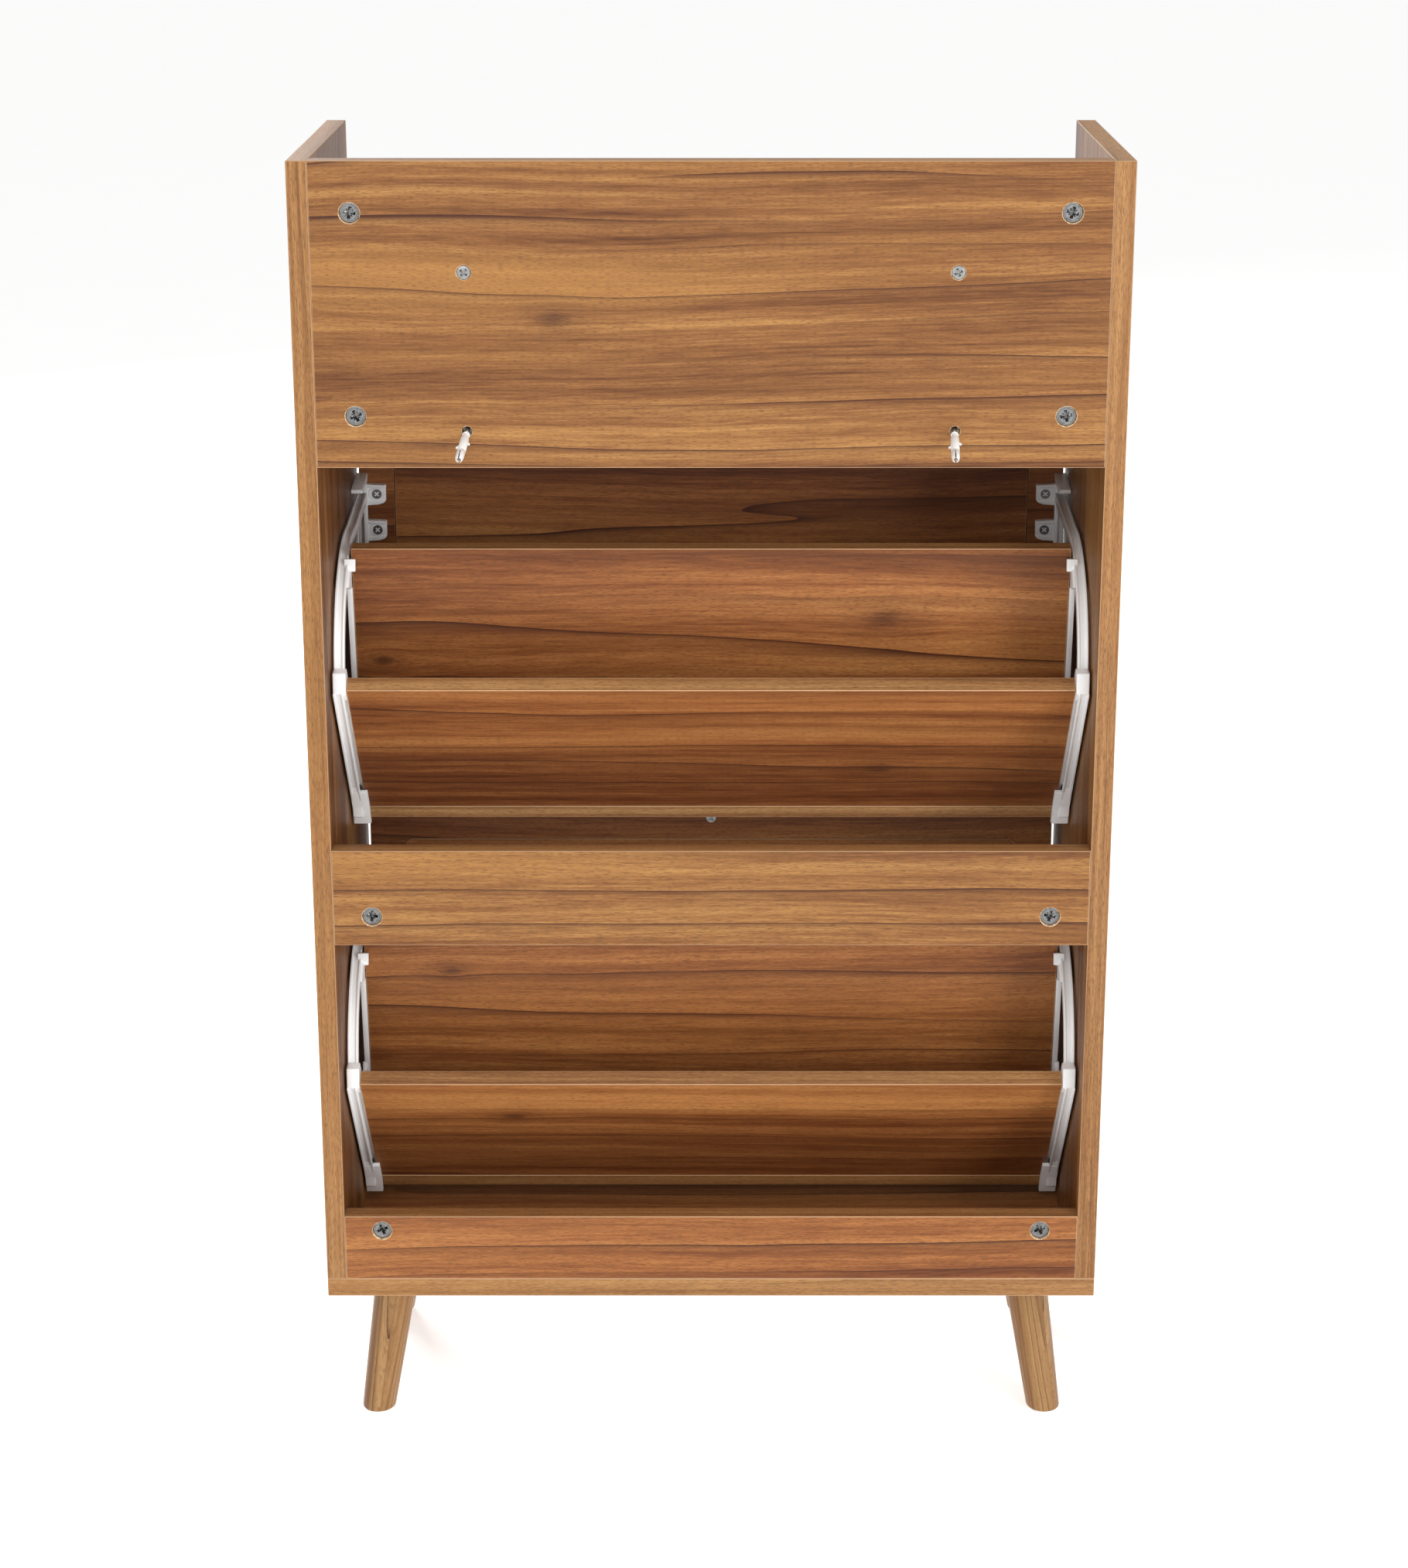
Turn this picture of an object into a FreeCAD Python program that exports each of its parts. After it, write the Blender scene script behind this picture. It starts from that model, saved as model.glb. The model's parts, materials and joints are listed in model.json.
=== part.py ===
import FreeCAD, Part
import math
import os

from FreeCAD import Placement, Rotation, Vector

# A shoe cabinet on four splayed legs: an open tray on top, an open niche below it, and two
# compartments that tip outwards on moulded flip frames. Millimetres, +Z up, back towards +Y.
# The origin is on the floor, at the middle of everything that stands over it.

os.makedirs("parts", exist_ok=True)

# Carcass
width = 600.0
depth = 240.0
height = 1010.0
board = 15.0                      # thickness of every carcass board and of the doors
base_clearance = 122.0            # floor to the underside of the bottom board
edge_round = 0.8                  # rounding of every board edge

back_panel_height = 222.0
top_board_drop = 72.0             # tray depth: top of the sides down to the top board
niche_floor_drop = 209.0
middle_rail_drop = 517.0
middle_rail_height = 76.0
bottom_rail_height = 53.5

# Cam fittings, dowels and screws of the carcass
cam_radius = 7.5
cam_depth = 12.4
cam_inset = 29.0                  # side panel's inner face to the cam's centre
cam_rows_below_top = (37.0, 184.0)
middle_cam_drop = 570.0
bottom_cam_height = 41.3          # above the bottom board
shelf_cam_spread = 70.0           # cams under the shelves, either side of mid depth
bolt_radius = 3.5
thread_radius = 2.5
thread_length = 11.0              # of a cam bolt, in the side panel
dowel_radius = 4.0
dowel_in_side = 10.0
dowel_in_rail = 16.0
fitting_spread = 176.0            # from the middle to the wall screws and the top board's bolts
wall_screw_drop = 195.0
wall_screw_droop = 12.0           # degrees below level, loose in its hole
wall_screw_lean = 3.0             # degrees sideways
wall_screw_reach = 45.0           # along the plug, from the back panel to its tip
wall_hole_radius = 3.8
wall_screw_radius = 1.75
wall_plug_radius = 3.1
wall_plug_neck_radius = 2.35
wall_plug_neck = 7.0              # narrow collar at the head end of the plug
wall_plug_length = 43.0

# Legs
leg_top = (250.0, 62.0)           # leg axis under the board, from the middle
leg_foot = (268.0, 80.0)          # leg axis on the floor
leg_top_radius = 17.2
leg_foot_radius = 13.0
glide_height = 3.0
glide_radius = 11.0
plate_size = 64.0
plate_thick = 2.5
leg_bolt_radius = 4.0

# Flip compartments, all measured from the pivot: "back" towards the wall and "up"
pitch = 321.0                     # upper pivot down to the lower pivot
pivot_drop = 488.0
pivot_in = 216.0                  # rear plane to the pivot
door_width = 564.0
door_height = 312.0
door_below_pivot = 55.5
inset_width = 508.0
inset_height = 237.0
inset_corner = 8.0
inset_gap = 0.5
inset_depth = 9.0
rebate = 6.0
tier_board = 12.0
tier_width = 546.0
frame_outer = 283.0
frame_inner = 275.0
plate_inner = 273.2               # webs beside the ends of the tier boards
cover_inner = 269.5               # lip that wraps round the lower boards' ends
pin_radius = 3.0
running_gap = 0.05
bush_radius = 5.0
bush_flange_radius = 8.0
knob_reach = 24.0
knob_radius = 15.0

half = width / 2
inner = half - board
top_z = height
floor_z = base_clearance + board

screw_dir = Vector(math.sin(math.radians(wall_screw_lean)) * math.cos(math.radians(wall_screw_droop)),
                   math.cos(math.radians(wall_screw_lean)) * math.cos(math.radians(wall_screw_droop)),
                   -math.sin(math.radians(wall_screw_droop)))
screw_out = wall_screw_reach * screw_dir.y + wall_plug_radius * math.sqrt(1 - screw_dir.y ** 2)

# The front-most piece is a knob and the rear-most a wall plug: the origin is midway
rear = (depth + knob_reach - screw_out) / 2
front = rear - depth
middle = (rear + front) / 2

nodes = {}


def keep(name, shape):
    """Record one sub-part, as one solid or a group of separate solids."""
    nodes[name] = shape


def group(solids):
    return Part.makeCompound(solids)


def box(x0, x1, y0, y1, z0, z1):
    return Part.makeBox(x1 - x0, y1 - y0, z1 - z0, Vector(x0, y0, z0))


def rounded_box(x0, x1, y0, y1, z0, z1, radius=edge_round):
    """A board with all its edges eased."""
    block = box(x0, x1, y0, y1, z0, z1)
    return block.makeFillet(radius, block.Edges)


def rod(radius, length, start, direction):
    return Part.makeCylinder(radius, length, start, direction)


def cut_all(shape, tools):
    return shape.cut(group(tools)) if tools else shape


def side_sign(name):
    return 1.0 if name == "right" else -1.0


def cross_recess(centre, direction, size, sink):
    """Two crossed slots, to cut a driver recess into a head that faces along direction."""
    slots = []
    for turn in (0.0, 90.0):
        slot = Part.makeBox(size, size / 4.5, sink, Vector(-size / 2, -size / 9, -sink))
        slot.rotate(Vector(), Vector(0, 0, 1), turn + 45.0)
        slot.Placement = Placement(centre, Rotation(Vector(0, 0, 1), direction)).multiply(slot.Placement)
        slots.append(slot)
    return slots[0].fuse(slots[1])


# Carcass fittings. Each joint adds its cutters to the boards that it passes through.

cams = []
cam_bolts = []
dowels = []
cuts = {name: [] for name in ("side_left", "side_right", "back", "middle_rail", "bottom_rail",
                              "top_board", "niche_floor", "bottom_board")}


def add_cam(board_name, side, y, z, facing, board_face):
    """A cam in a board's face and the bolt that it draws, out of the side panel.

    facing is the way the cam's head looks, and board_face the coordinate of that face.
    """
    sign = side_sign(side)
    x = sign * (inner - cam_inset)
    if facing.y:
        seat = Vector(x, board_face, z)
        axis_y, axis_z = board_face - board / 2, z
    else:
        seat = Vector(x, y, board_face)
        axis_y, axis_z = y, board_face + board / 2
    inward = facing * -1
    pocket = rod(cam_radius, cam_depth + 0.2, seat, inward)
    toward_side = Vector(sign, 0, 0)
    shaft_start = Vector(x + sign * 2.0, axis_y, axis_z)
    housing = rod(cam_radius - 0.1, cam_depth, seat, inward)
    housing = housing.cut(cross_recess(seat, facing, 9.0, 2.2))
    slot_start = Vector(x - sign, axis_y, axis_z)
    housing = housing.cut(rod(bolt_radius + 0.1, cam_radius + 4.0, slot_start, toward_side))
    cams.append(housing)
    shaft = rod(bolt_radius - 0.5, cam_inset - 2.0, shaft_start, toward_side)
    head = rod(bolt_radius, 3.0, shaft_start, toward_side)
    thread = rod(thread_radius, thread_length, Vector(sign * inner, axis_y, axis_z), toward_side)
    cam_bolts.append(shaft.fuse([head, thread]).removeSplitter())
    bore = rod(bolt_radius + 0.3, cam_inset, Vector(x, axis_y, axis_z), toward_side)
    cuts[board_name] += [pocket, bore]
    cuts["side_" + side].append(thread)


def add_side_dowel(board_name, side, y, z):
    """A dowel from the end of a board into the side panel."""
    sign = side_sign(side)
    start = Vector(sign * (inner - dowel_in_rail), y, z)
    dowel = rod(dowel_radius, dowel_in_rail + dowel_in_side, start, Vector(sign, 0, 0))
    dowels.append(dowel)
    cuts[board_name].append(dowel)
    cuts["side_" + side].append(dowel)


facing_back = Vector(0, 1, 0)
facing_down = Vector(0, 0, -1)
rail_axis_y = rear - board / 2
top_board_low = top_z - top_board_drop - board
niche_floor_low = top_z - niche_floor_drop - board

for side in ("left", "right"):
    for drop in cam_rows_below_top:
        add_cam("back", side, 0, top_z - drop, facing_back, rear)
    add_cam("middle_rail", side, 0, top_z - middle_cam_drop, facing_back, rear)
    add_cam("bottom_rail", side, 0, floor_z + bottom_cam_height, facing_back, rear)
    for offset in (-shelf_cam_spread, shelf_cam_spread):
        add_cam("top_board", side, middle + offset, 0, facing_down, top_board_low)
        add_cam("niche_floor", side, middle + offset, 0, facing_down, niche_floor_low)
    add_side_dowel("back", side, rail_axis_y, top_z - 112.0)
    add_side_dowel("middle_rail", side, rail_axis_y, top_z - 538.0)
    add_side_dowel("bottom_rail", side, rail_axis_y, floor_z + 14.0)
    add_side_dowel("top_board", side, middle, top_board_low + board / 2)
    add_side_dowel("niche_floor", side, middle, niche_floor_low + board / 2)

# Dowels and screws between the side panels and the bottom board
base_screws = []
for side in ("left", "right"):
    x = side_sign(side) * (half - board / 2)
    for offset in (-55.0, 55.0):
        dowel = rod(dowel_radius, 34.0, Vector(x, middle + offset, floor_z - 10.0), Vector(0, 0, 1))
        dowels.append(dowel)
        cuts["bottom_board"].append(dowel)
        cuts["side_" + side].append(dowel)
    for offset in (-98.0, 98.0):
        low = Vector(x, middle + offset, base_clearance)
        head = Part.makeCone(5.0, 3.5, 4.0, low, Vector(0, 0, 1))
        shank = rod(2.6, 50.0, low, Vector(0, 0, 1))
        neck = rod(3.5, board, low, Vector(0, 0, 1))
        screw = head.fuse([shank, neck]).removeSplitter()
        cuts["bottom_board"].append(screw)
        cuts["side_" + side].append(screw)
        base_screws.append(screw.cut(cross_recess(low, facing_down, 5.0, 2.0)))

# Bolts through the upper back panel into the top board
top_bolts = []
for sign in (-1.0, 1.0):
    seat = Vector(sign * fitting_spread, rear, top_board_low + board / 2)
    into = Vector(0, -1, 0)
    bolt = rod(5.2, 2.0, seat, into).fuse(rod(2.5, 48.0, seat, into)).removeSplitter()
    cuts["back"].append(bolt)
    cuts["top_board"].append(bolt)
    top_bolts.append(bolt.cut(cross_recess(seat, facing_back, 6.5, 1.6)))

# Wall screws with their plugs. Each leans on the lower rim of its hole, tilted about mid thickness.
wall_screws = []
wall_plugs = []
for sign in (-1.0, 1.0):
    hole_middle = Vector(sign * fitting_spread, rear - board / 2, top_z - wall_screw_drop)
    hole_front = hole_middle - facing_back * (board / 2 + 1)
    cuts["back"].append(rod(wall_hole_radius, board + 2, hole_front, facing_back))
    exit_point = hole_middle + screw_dir * (board / 2 / screw_dir.y)
    head_low = hole_middle - screw_dir * (board / 2 + 6.2)
    head = Part.makeCone(4.2, wall_screw_radius, 3.0, head_low, screw_dir)
    shank = rod(wall_screw_radius, board + 6.0 + wall_screw_reach - 8.0, head_low, screw_dir)
    tip_low = head_low + screw_dir * (board + wall_screw_reach - 2.0)
    tip = Part.makeCone(wall_screw_radius, 0.5, 4.0, tip_low, screw_dir)
    screw = head.fuse([shank, tip]).removeSplitter()
    wall_screws.append(screw.cut(cross_recess(head_low, screw_dir * -1, 4.4, 1.8)))
    plug_low = exit_point + screw_dir * (wall_screw_reach - wall_plug_length)
    plug = rod(wall_plug_neck_radius, wall_plug_length, plug_low, screw_dir)
    shoulder = plug_low + screw_dir * wall_plug_neck
    plug = plug.fuse(rod(wall_plug_radius, wall_plug_length - wall_plug_neck, shoulder, screw_dir))
    upright = Placement(plug_low, Rotation(Vector(0, 0, 1), screw_dir))
    for wing_side in (-1.0, 1.0):
        x0, x1 = sorted((wing_side * 2.4, wing_side * 4.7))
        wing = box(x0, x1, -0.8, 0.8, 17.0 - wing_side * 3.0, 19.5 - wing_side * 3.0)
        wing.Placement = upright
        plug = plug.fuse(wing)
    end_slot = box(-0.5, 0.5, -wall_plug_radius, wall_plug_radius, wall_plug_length - 12.0, wall_plug_length)
    end_slot.Placement = upright
    bore = rod(wall_screw_radius + 0.1, wall_plug_length, plug_low, screw_dir)
    wall_plugs.append(plug.removeSplitter().cut(bore).cut(end_slot))

# Pivot seats in the side panels
pivots = {"upper": Vector(0, rear - pivot_in, top_z - pivot_drop),
          "lower": Vector(0, rear - pivot_in, top_z - pivot_drop - pitch)}
bushes = []
for pivot in pivots.values():
    for side in ("left", "right"):
        sign = side_sign(side)
        seat = Vector(sign * inner, pivot.y, pivot.z)
        outward = Vector(sign, 0, 0)
        cuts["side_" + side].append(rod(bush_radius, 10.0, seat, outward))
        flange = rod(bush_flange_radius, 1.2, seat - outward * 1.2, outward)
        bush = rod(bush_radius, 10.0, seat, outward).fuse(flange).removeSplitter()
        bore = rod(pin_radius + running_gap, 10.2, seat - outward * 1.2, outward)
        bushes.append(bush.cut(bore))

# Carcass boards
for side in ("left", "right"):
    sign = side_sign(side)
    x0, x1 = sorted((sign * inner, sign * half))
    panel = rounded_box(x0, x1, front, rear, floor_z, top_z)
    keep("side_panel_" + side, cut_all(panel, cuts["side_" + side]))

bottom = rounded_box(-half, half, front, rear, base_clearance, floor_z)

back = rounded_box(-inner, inner, rear - board, rear, top_z - back_panel_height, top_z)
keep("upper_back_panel", cut_all(back, cuts["back"]))
rail_top = top_z - middle_rail_drop
rail = rounded_box(-inner, inner, rear - board, rear, rail_top - middle_rail_height, rail_top)
keep("middle_back_rail", cut_all(rail, cuts["middle_rail"]))
rail = rounded_box(-inner, inner, rear - board, rear, floor_z, floor_z + bottom_rail_height)
keep("bottom_back_rail", cut_all(rail, cuts["bottom_rail"]))
shelf = rounded_box(-inner, inner, front, rear - board, top_board_low, top_board_low + board)
keep("top_board", cut_all(shelf, cuts["top_board"]))
shelf = rounded_box(-inner, inner, front, rear - board, niche_floor_low, niche_floor_low + board)
keep("niche_floor", cut_all(shelf, cuts["niche_floor"]))

# Legs, each with its plate, bolt, four screws and glide
plates = []
plate_screws = []
leg_bolts = []
glides = []
for end, y_sign in (("front", -1.0), ("rear", 1.0)):
    for side in ("left", "right"):
        sign = side_sign(side)
        foot = Vector(sign * leg_foot[0], middle + y_sign * leg_foot[1], 0)
        head = Vector(sign * leg_top[0], middle + y_sign * leg_top[1], base_clearance)
        axis = (head - foot).normalize()
        low_end = foot - axis * 10
        length = base_clearance / axis.z + 20
        taper = (leg_top_radius - leg_foot_radius) / (base_clearance / axis.z)
        low_radius = leg_foot_radius - taper * 10
        leg = Part.makeCone(low_radius, low_radius + taper * length, length, low_end, axis)
        plate_low = base_clearance - plate_thick
        slab = box(foot.x - 100, foot.x + 100, foot.y - 100, foot.y + 100, glide_height, plate_low)
        bolt = rod(leg_bolt_radius, 52.0, head - axis * 40, axis)
        leg = leg.common(slab).cut(bolt)
        nail = rod(1.5, 12.0, Vector(foot.x, foot.y, 0), Vector(0, 0, 1))
        disc = rod(glide_radius, glide_height, Vector(foot.x, foot.y, 0), Vector(0, 0, 1))
        rim = [edge for edge in disc.Edges if len(edge.Vertexes) == 1 and edge.Vertexes[0].Z < 0.1]
        disc = disc.makeChamfer(0.8, rim)
        glides.append(disc.fuse(nail).removeSplitter())
        keep("leg_%s_%s" % (end, side), leg.cut(nail))
        reach = plate_size / 2
        plate = box(head.x - reach, head.x + reach, head.y - reach, head.y + reach, plate_low, base_clearance)
        plate = plate.makeFillet(8.0, [edge for edge in plate.Edges if abs(edge.tangentAt(0).z) > 0.9])
        leg_bolts.append(bolt)
        cuts["bottom_board"].append(rod(leg_bolt_radius + 1.5, 15.5, head - axis * 2, axis))
        holes = [bolt]
        for dx in (-reach + 9, reach - 9):
            for dy in (-reach + 9, reach - 9):
                seat = Vector(head.x + dx, head.y + dy, plate_low)
                screw = Part.makeCone(3.6, 2.0, 2.0, seat, Vector(0, 0, 1))
                screw = screw.fuse(rod(2.0, 13.5, seat, Vector(0, 0, 1))).removeSplitter()
                holes.append(screw)
                cuts["bottom_board"].append(screw)
                plate_screws.append(screw.cut(cross_recess(seat, facing_down, 3.6, 1.2)))
        plates.append(cut_all(plate, holes))

keep("bottom_board", cut_all(bottom, cuts["bottom_board"]))
keep("cam_locks", group(cams))
keep("cam_bolts", group(cam_bolts))
keep("wood_dowels", group(dowels))
keep("base_screws", group(base_screws))
keep("top_board_bolts", group(top_bolts))
keep("wall_screws", group(wall_screws))
keep("wall_plugs", group(wall_plugs))
keep("leg_plates", group(plates))
keep("leg_bolts", group(leg_bolts))
keep("leg_plate_screws", group(plate_screws))
keep("leg_glides", group(glides))
keep("pivot_bushes", group(bushes))


# Flip compartments. A profile is drawn as (back, up) points from the pivot, then extruded across.

door_inner = pivot_in - (depth - board)        # the door's inner face, in front of the pivot


def profile(pivot, points, x0, x1):
    """Extrude a closed outline. A point that follows "arc" is the middle of a round stretch."""
    def spot(back_up):
        return Vector(x0, pivot.y + back_up[0], pivot.z + back_up[1])
    edges = []
    here = spot(points[0])
    steps = list(points[1:]) + [points[0]]
    while steps:
        step = steps.pop(0)
        if step == "arc":
            through, there = spot(steps.pop(0)), spot(steps.pop(0))
            edges.append(Part.Arc(here, through, there).toShape())
        else:
            there = spot(step)
            edges.append(Part.LineSegment(here, there).toShape())
        here = there
    return Part.Face(Part.Wire(edges)).extrude(Vector(x1 - x0, 0, 0))


def leaning(tilt):
    """Unit steps down a leaning board and through its thickness. The tilt is its slope in
    degrees from straight down (0) towards the door (90 is level, more climbs)."""
    down = (-math.sin(math.radians(tilt)), -math.cos(math.radians(tilt)))
    turn = -1.0 if tilt > 60 else 1.0
    return down, (turn * down[1], -turn * down[0])


def board_outline(start, tilt, length, thick):
    """Four corners of a leaning board, from its rear upper corner on."""
    down, through = leaning(tilt)
    return [(start[0] + down[0] * run + through[0] * deep, start[1] + down[1] * run + through[1] * deep)
            for run, deep in ((0, 0), (length, 0), (length, thick), (0, thick))]


# Rear upper corner, tilt and length of each leaning board
tiers = {"front_tier_back": ((132.0, 183.3), 8.3, 139.0),
         "rear_tier_back": ((189.0, 88.6), 38.2, 161.6),
         "front_tier_shelf": ((111.7, 45.2), 98.3, 100.0),
         "rear_tier_shelf": ((88.6, -39.0), 114.0, 88.0)}


def channel(name, before, behind, ahead, length=None):
    """The outline of a tier board grown by `behind` on its rear side and `ahead` on its other
    side, and started `before` its upper end, for the channel that holds the board's end."""
    start, tilt, full = tiers[name]
    down, through = leaning(tilt)
    corner = (start[0] - down[0] * before - through[0] * behind,
              start[1] - down[1] * before - through[1] * behind)
    run = (full if length is None else length) + before
    return board_outline(corner, tilt, run, tier_board + behind + ahead)


def rounded_rectangle(wide, tall, corner, y0, y1, centre_z):
    block = box(-wide / 2, wide / 2, y0, y1, centre_z - tall / 2, centre_z + tall / 2)
    uprights = [edge for edge in block.Edges if abs(edge.tangentAt(0).y) > 0.9]
    return block.makeFillet(corner, uprights)


tab_rows = (192.7, 163.1, -24.0)      # screw tabs on the door, above the pivot


def flip_frame(pivot, sign):
    """One moulded side frame: door bar, curved top arm, channels for the four boards, foot."""
    def across(points, near, far):
        x0, x1 = sorted((sign * near, sign * far))
        return profile(pivot, points, x0, x1)
    door_face = door_inner
    bar = across([(-1.0, -47.0), (-1.0, 203.0), (door_face, 203.0), (door_face, -47.0)],
                 frame_inner, frame_outer)
    arm = across([(-1.0, 194.5), (77.0, 187.0), "arc", (152.2, 158.7), (180.0, 91.5), (173.0, 91.5),
                  "arc", (147.2, 153.7), (76.5, 180.0), (-1.0, 186.5)], frame_inner, frame_outer)
    knee = across([(179.0, 103.0), (189.5, 102.0), (190.5, 86.0), (180.0, 78.0), (167.0, 82.0),
                   (170.0, 92.0)], plate_inner, frame_outer)
    lower_arm = across(channel("rear_tier_back", -1.0, 4.0, 2.0), frame_inner, frame_outer)
    foot = across([(112.0, -12.0), (98.0, -16.0), (84.0, -34.0), (79.0, -53.0), (87.5, -54.0), (89.0, -48.5),
                   (93.0, -46.5), (95.5, -37.0), (107.0, -21.0)], frame_inner, frame_outer)
    cover = across([(107.0, -21.5), (104.3, -19.6), (90.0, -37.8), (84.3, -50.3), (82.5, -53.6),
                    (87.5, -54.0), (93.0, -40.5)], cover_inner, frame_outer)
    floor_arm = across(channel("rear_tier_shelf", -2.0, -2.0, 5.0, 96.5), frame_inner, frame_outer)
    strut = across(channel("front_tier_back", -22.0, 1.5, 1.5), plate_inner, frame_inner + 2.5)
    shelf_arm = across(channel("front_tier_shelf", 4.0, 1.5, 3.0, 117.5), plate_inner, frame_inner + 4.0)
    web = across([(117.0, 76.0), (120.5, 70.0), "arc", (144.0, 73.5), (168.0, 86.0), (172.0, 79.0),
                  "arc", (145.0, 59.0), (110.0, 43.0), (106.0, 44.0)], frame_inner, frame_inner + 4.0)
    link = across([(121.0, 150.0), (133.0, 152.0), (150.0, 158.0), (143.0, 163.0), (131.0, 172.0),
                   (124.0, 172.0)], plate_inner, frame_outer)
    hook = across([(132.9, 166.0), (136.4, 166.5), (135.3, 176.0), (131.6, 175.4)],
                  cover_inner, frame_inner + 3.0)
    boss_start = Vector(sign * plate_inner, pivot.y, pivot.z)
    boss = rod(8.0, frame_outer - plate_inner, boss_start, Vector(sign, 0, 0))
    gusset = across([(-1.0, 26.0), (5.0, 5.0), (5.0, -8.0), (-1.0, -26.0)], frame_inner, frame_outer)
    top_flange = across([(door_face, 209.0), (27.0, 203.5), (27.0, 200.5), (-1.0, 201.5), (door_face, 202.0)],
                        frame_inner, inner - 0.6)
    body = bar.fuse([arm, knee, lower_arm, foot, cover, floor_arm, strut, shelf_arm, web, link, hook, boss,
                     gusset, top_flange])
    for row in tab_rows:
        tab = across([(door_face, row - 8.0), (door_face, row + 7.5), (-3.0, row + 7.5), (-3.0, row - 8.0)],
                     260.0, frame_inner)
        slope = across([(-6.5, row - 9.5), (-2.0, row - 9.5), (-2.0, row + 8.0), (-6.5, row + 8.0)],
                       257.0, 267.2)
        slope.rotate(Vector(sign * 262.0, pivot.y - 4.0, pivot.z + row), Vector(0, 0, 1), sign * -14.0)
        body = body.fuse(tab.cut(slope))
    return body.removeSplitter()


def screw_at(x, y, z, reach, radius=2.1):
    """A countersunk tab screw, driven forwards into the door."""
    head = Part.makeCone(3.9, radius, 2.2, Vector(x, y, z), Vector(0, -1, 0))
    return head.fuse(rod(radius, reach, Vector(x, y, z), Vector(0, -1, 0))).removeSplitter()


for storey, pivot in pivots.items():
    door_y0, door_y1 = front, front + board
    door_low = pivot.z - door_below_pivot
    door_mid = door_low + door_height / 2
    door = rounded_box(-door_width / 2, door_width / 2, door_y0, door_y1, door_low, door_low + door_height)
    seat_y = door_y1 - inset_depth
    seat = rounded_rectangle(inset_width, inset_height, inset_corner, seat_y, door_y1 + 1, door_mid)
    window = rounded_rectangle(inset_width - 2 * rebate, inset_height - 2 * rebate, inset_corner - 2.0,
                               door_y0 - 1, door_y1, door_mid)
    door = door.cut(seat).cut(window)
    panel = rounded_rectangle(inset_width - 2 * inset_gap, inset_height - 2 * inset_gap,
                              inset_corner - inset_gap, seat_y, door_y1 - 0.4, door_mid)

    # Knob in the middle of the door's top border, with the screw that holds it from inside
    knob_z = door_low + door_height - (door_height - inset_height) / 4
    neck = knob_radius * 0.45
    crown = knob_radius * 0.2
    edges = [Part.LineSegment(Vector(0, 0, 0), Vector(neck + 1.5, 0, 0)).toShape(),
             Part.LineSegment(Vector(neck + 1.5, 0, 0), Vector(neck, 7.0, 0)).toShape(),
             Part.Arc(Vector(neck, 7.0, 0), Vector(knob_radius - 1.2, 12.0, 0),
                      Vector(knob_radius, 17.0, 0)).toShape(),
             Part.Arc(Vector(knob_radius, 17.0, 0), Vector(knob_radius * 0.78, knob_reach - 1.9, 0),
                      Vector(crown, knob_reach, 0)).toShape(),
             Part.LineSegment(Vector(crown, knob_reach, 0), Vector(0, knob_reach, 0)).toShape(),
             Part.LineSegment(Vector(0, knob_reach, 0), Vector(0, 0, 0)).toShape()]
    knob = Part.Face(Part.Wire(edges)).revolve(Vector(), Vector(0, 1, 0), 360)
    knob.rotate(Vector(), Vector(1, 0, 0), 180)
    knob.translate(Vector(0, door_y0, knob_z))
    screw_head = rod(4.0, 2.2, Vector(0, door_y1 + 2.2, knob_z), Vector(0, -1, 0))
    knob_screw = screw_head.fuse(rod(2.0, board + 14.0, Vector(0, door_y1, knob_z), Vector(0, -1, 0)))
    knob_screw = knob_screw.removeSplitter()
    door = door.cut(knob_screw)
    recess = cross_recess(Vector(0, door_y1 + 2.2, knob_z), facing_back, 5.0, 1.4)
    keep(storey + "_knob", knob.cut(knob_screw))
    keep(storey + "_knob_screw", knob_screw.cut(recess))
    keep(storey + "_door_panel", panel)

    # Leaning boards of the two tiers
    for name, (start, tilt, length) in tiers.items():
        outline = board_outline(start, tilt, length, tier_board)
        plank = profile(pivot, outline, -tier_width / 2, tier_width / 2)
        keep("%s_%s" % (storey, name), plank.makeFillet(edge_round, plank.Edges))

    # Flip frames, their screws and their pivot pins
    screws = []
    pins = []
    for side in ("left", "right"):
        sign = side_sign(side)
        frame = flip_frame(pivot, sign)
        for row in tab_rows:
            y = pivot.y - 3.6
            screw = screw_at(sign * 267.5, y, pivot.z + row, 15.0)
            frame = frame.cut(screw)
            door = door.cut(screw)
            recess = cross_recess(Vector(sign * 267.5, y, pivot.z + row), facing_back, 4.6, 1.3)
            screws.append(screw.cut(recess))
        pin = rod(pin_radius, inner + 8.0 - plate_inner, Vector(sign * plate_inner, pivot.y, pivot.z),
                  Vector(sign, 0, 0))
        pins.append(pin)
        keep("%s_flip_frame_%s" % (storey, side), frame.cut(pin))
    keep(storey + "_door", door)
    keep(storey + "_frame_screws", group(screws))
    keep(storey + "_pivot_pins", group(pins))

for name, shape in nodes.items():
    shape.exportStep("parts/%s.step" % name)
    limits = shape.optimalBoundingBox()
    print("%-28s solids %2d valid %s volume %10.1f  x %7.1f %7.1f  y %7.1f %7.1f  z %7.1f %7.1f" % (
        name, len(shape.Solids), shape.isValid(), shape.Volume, limits.XMin, limits.XMax,
        limits.YMin, limits.YMax, limits.ZMin, limits.ZMax))
print("rear plane", round(rear, 3), "front", round(front, 3), "middle", round(middle, 3))
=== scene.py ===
import json
import math
import random

import bmesh
import bpy
from mathutils import Matrix, Vector


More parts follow.
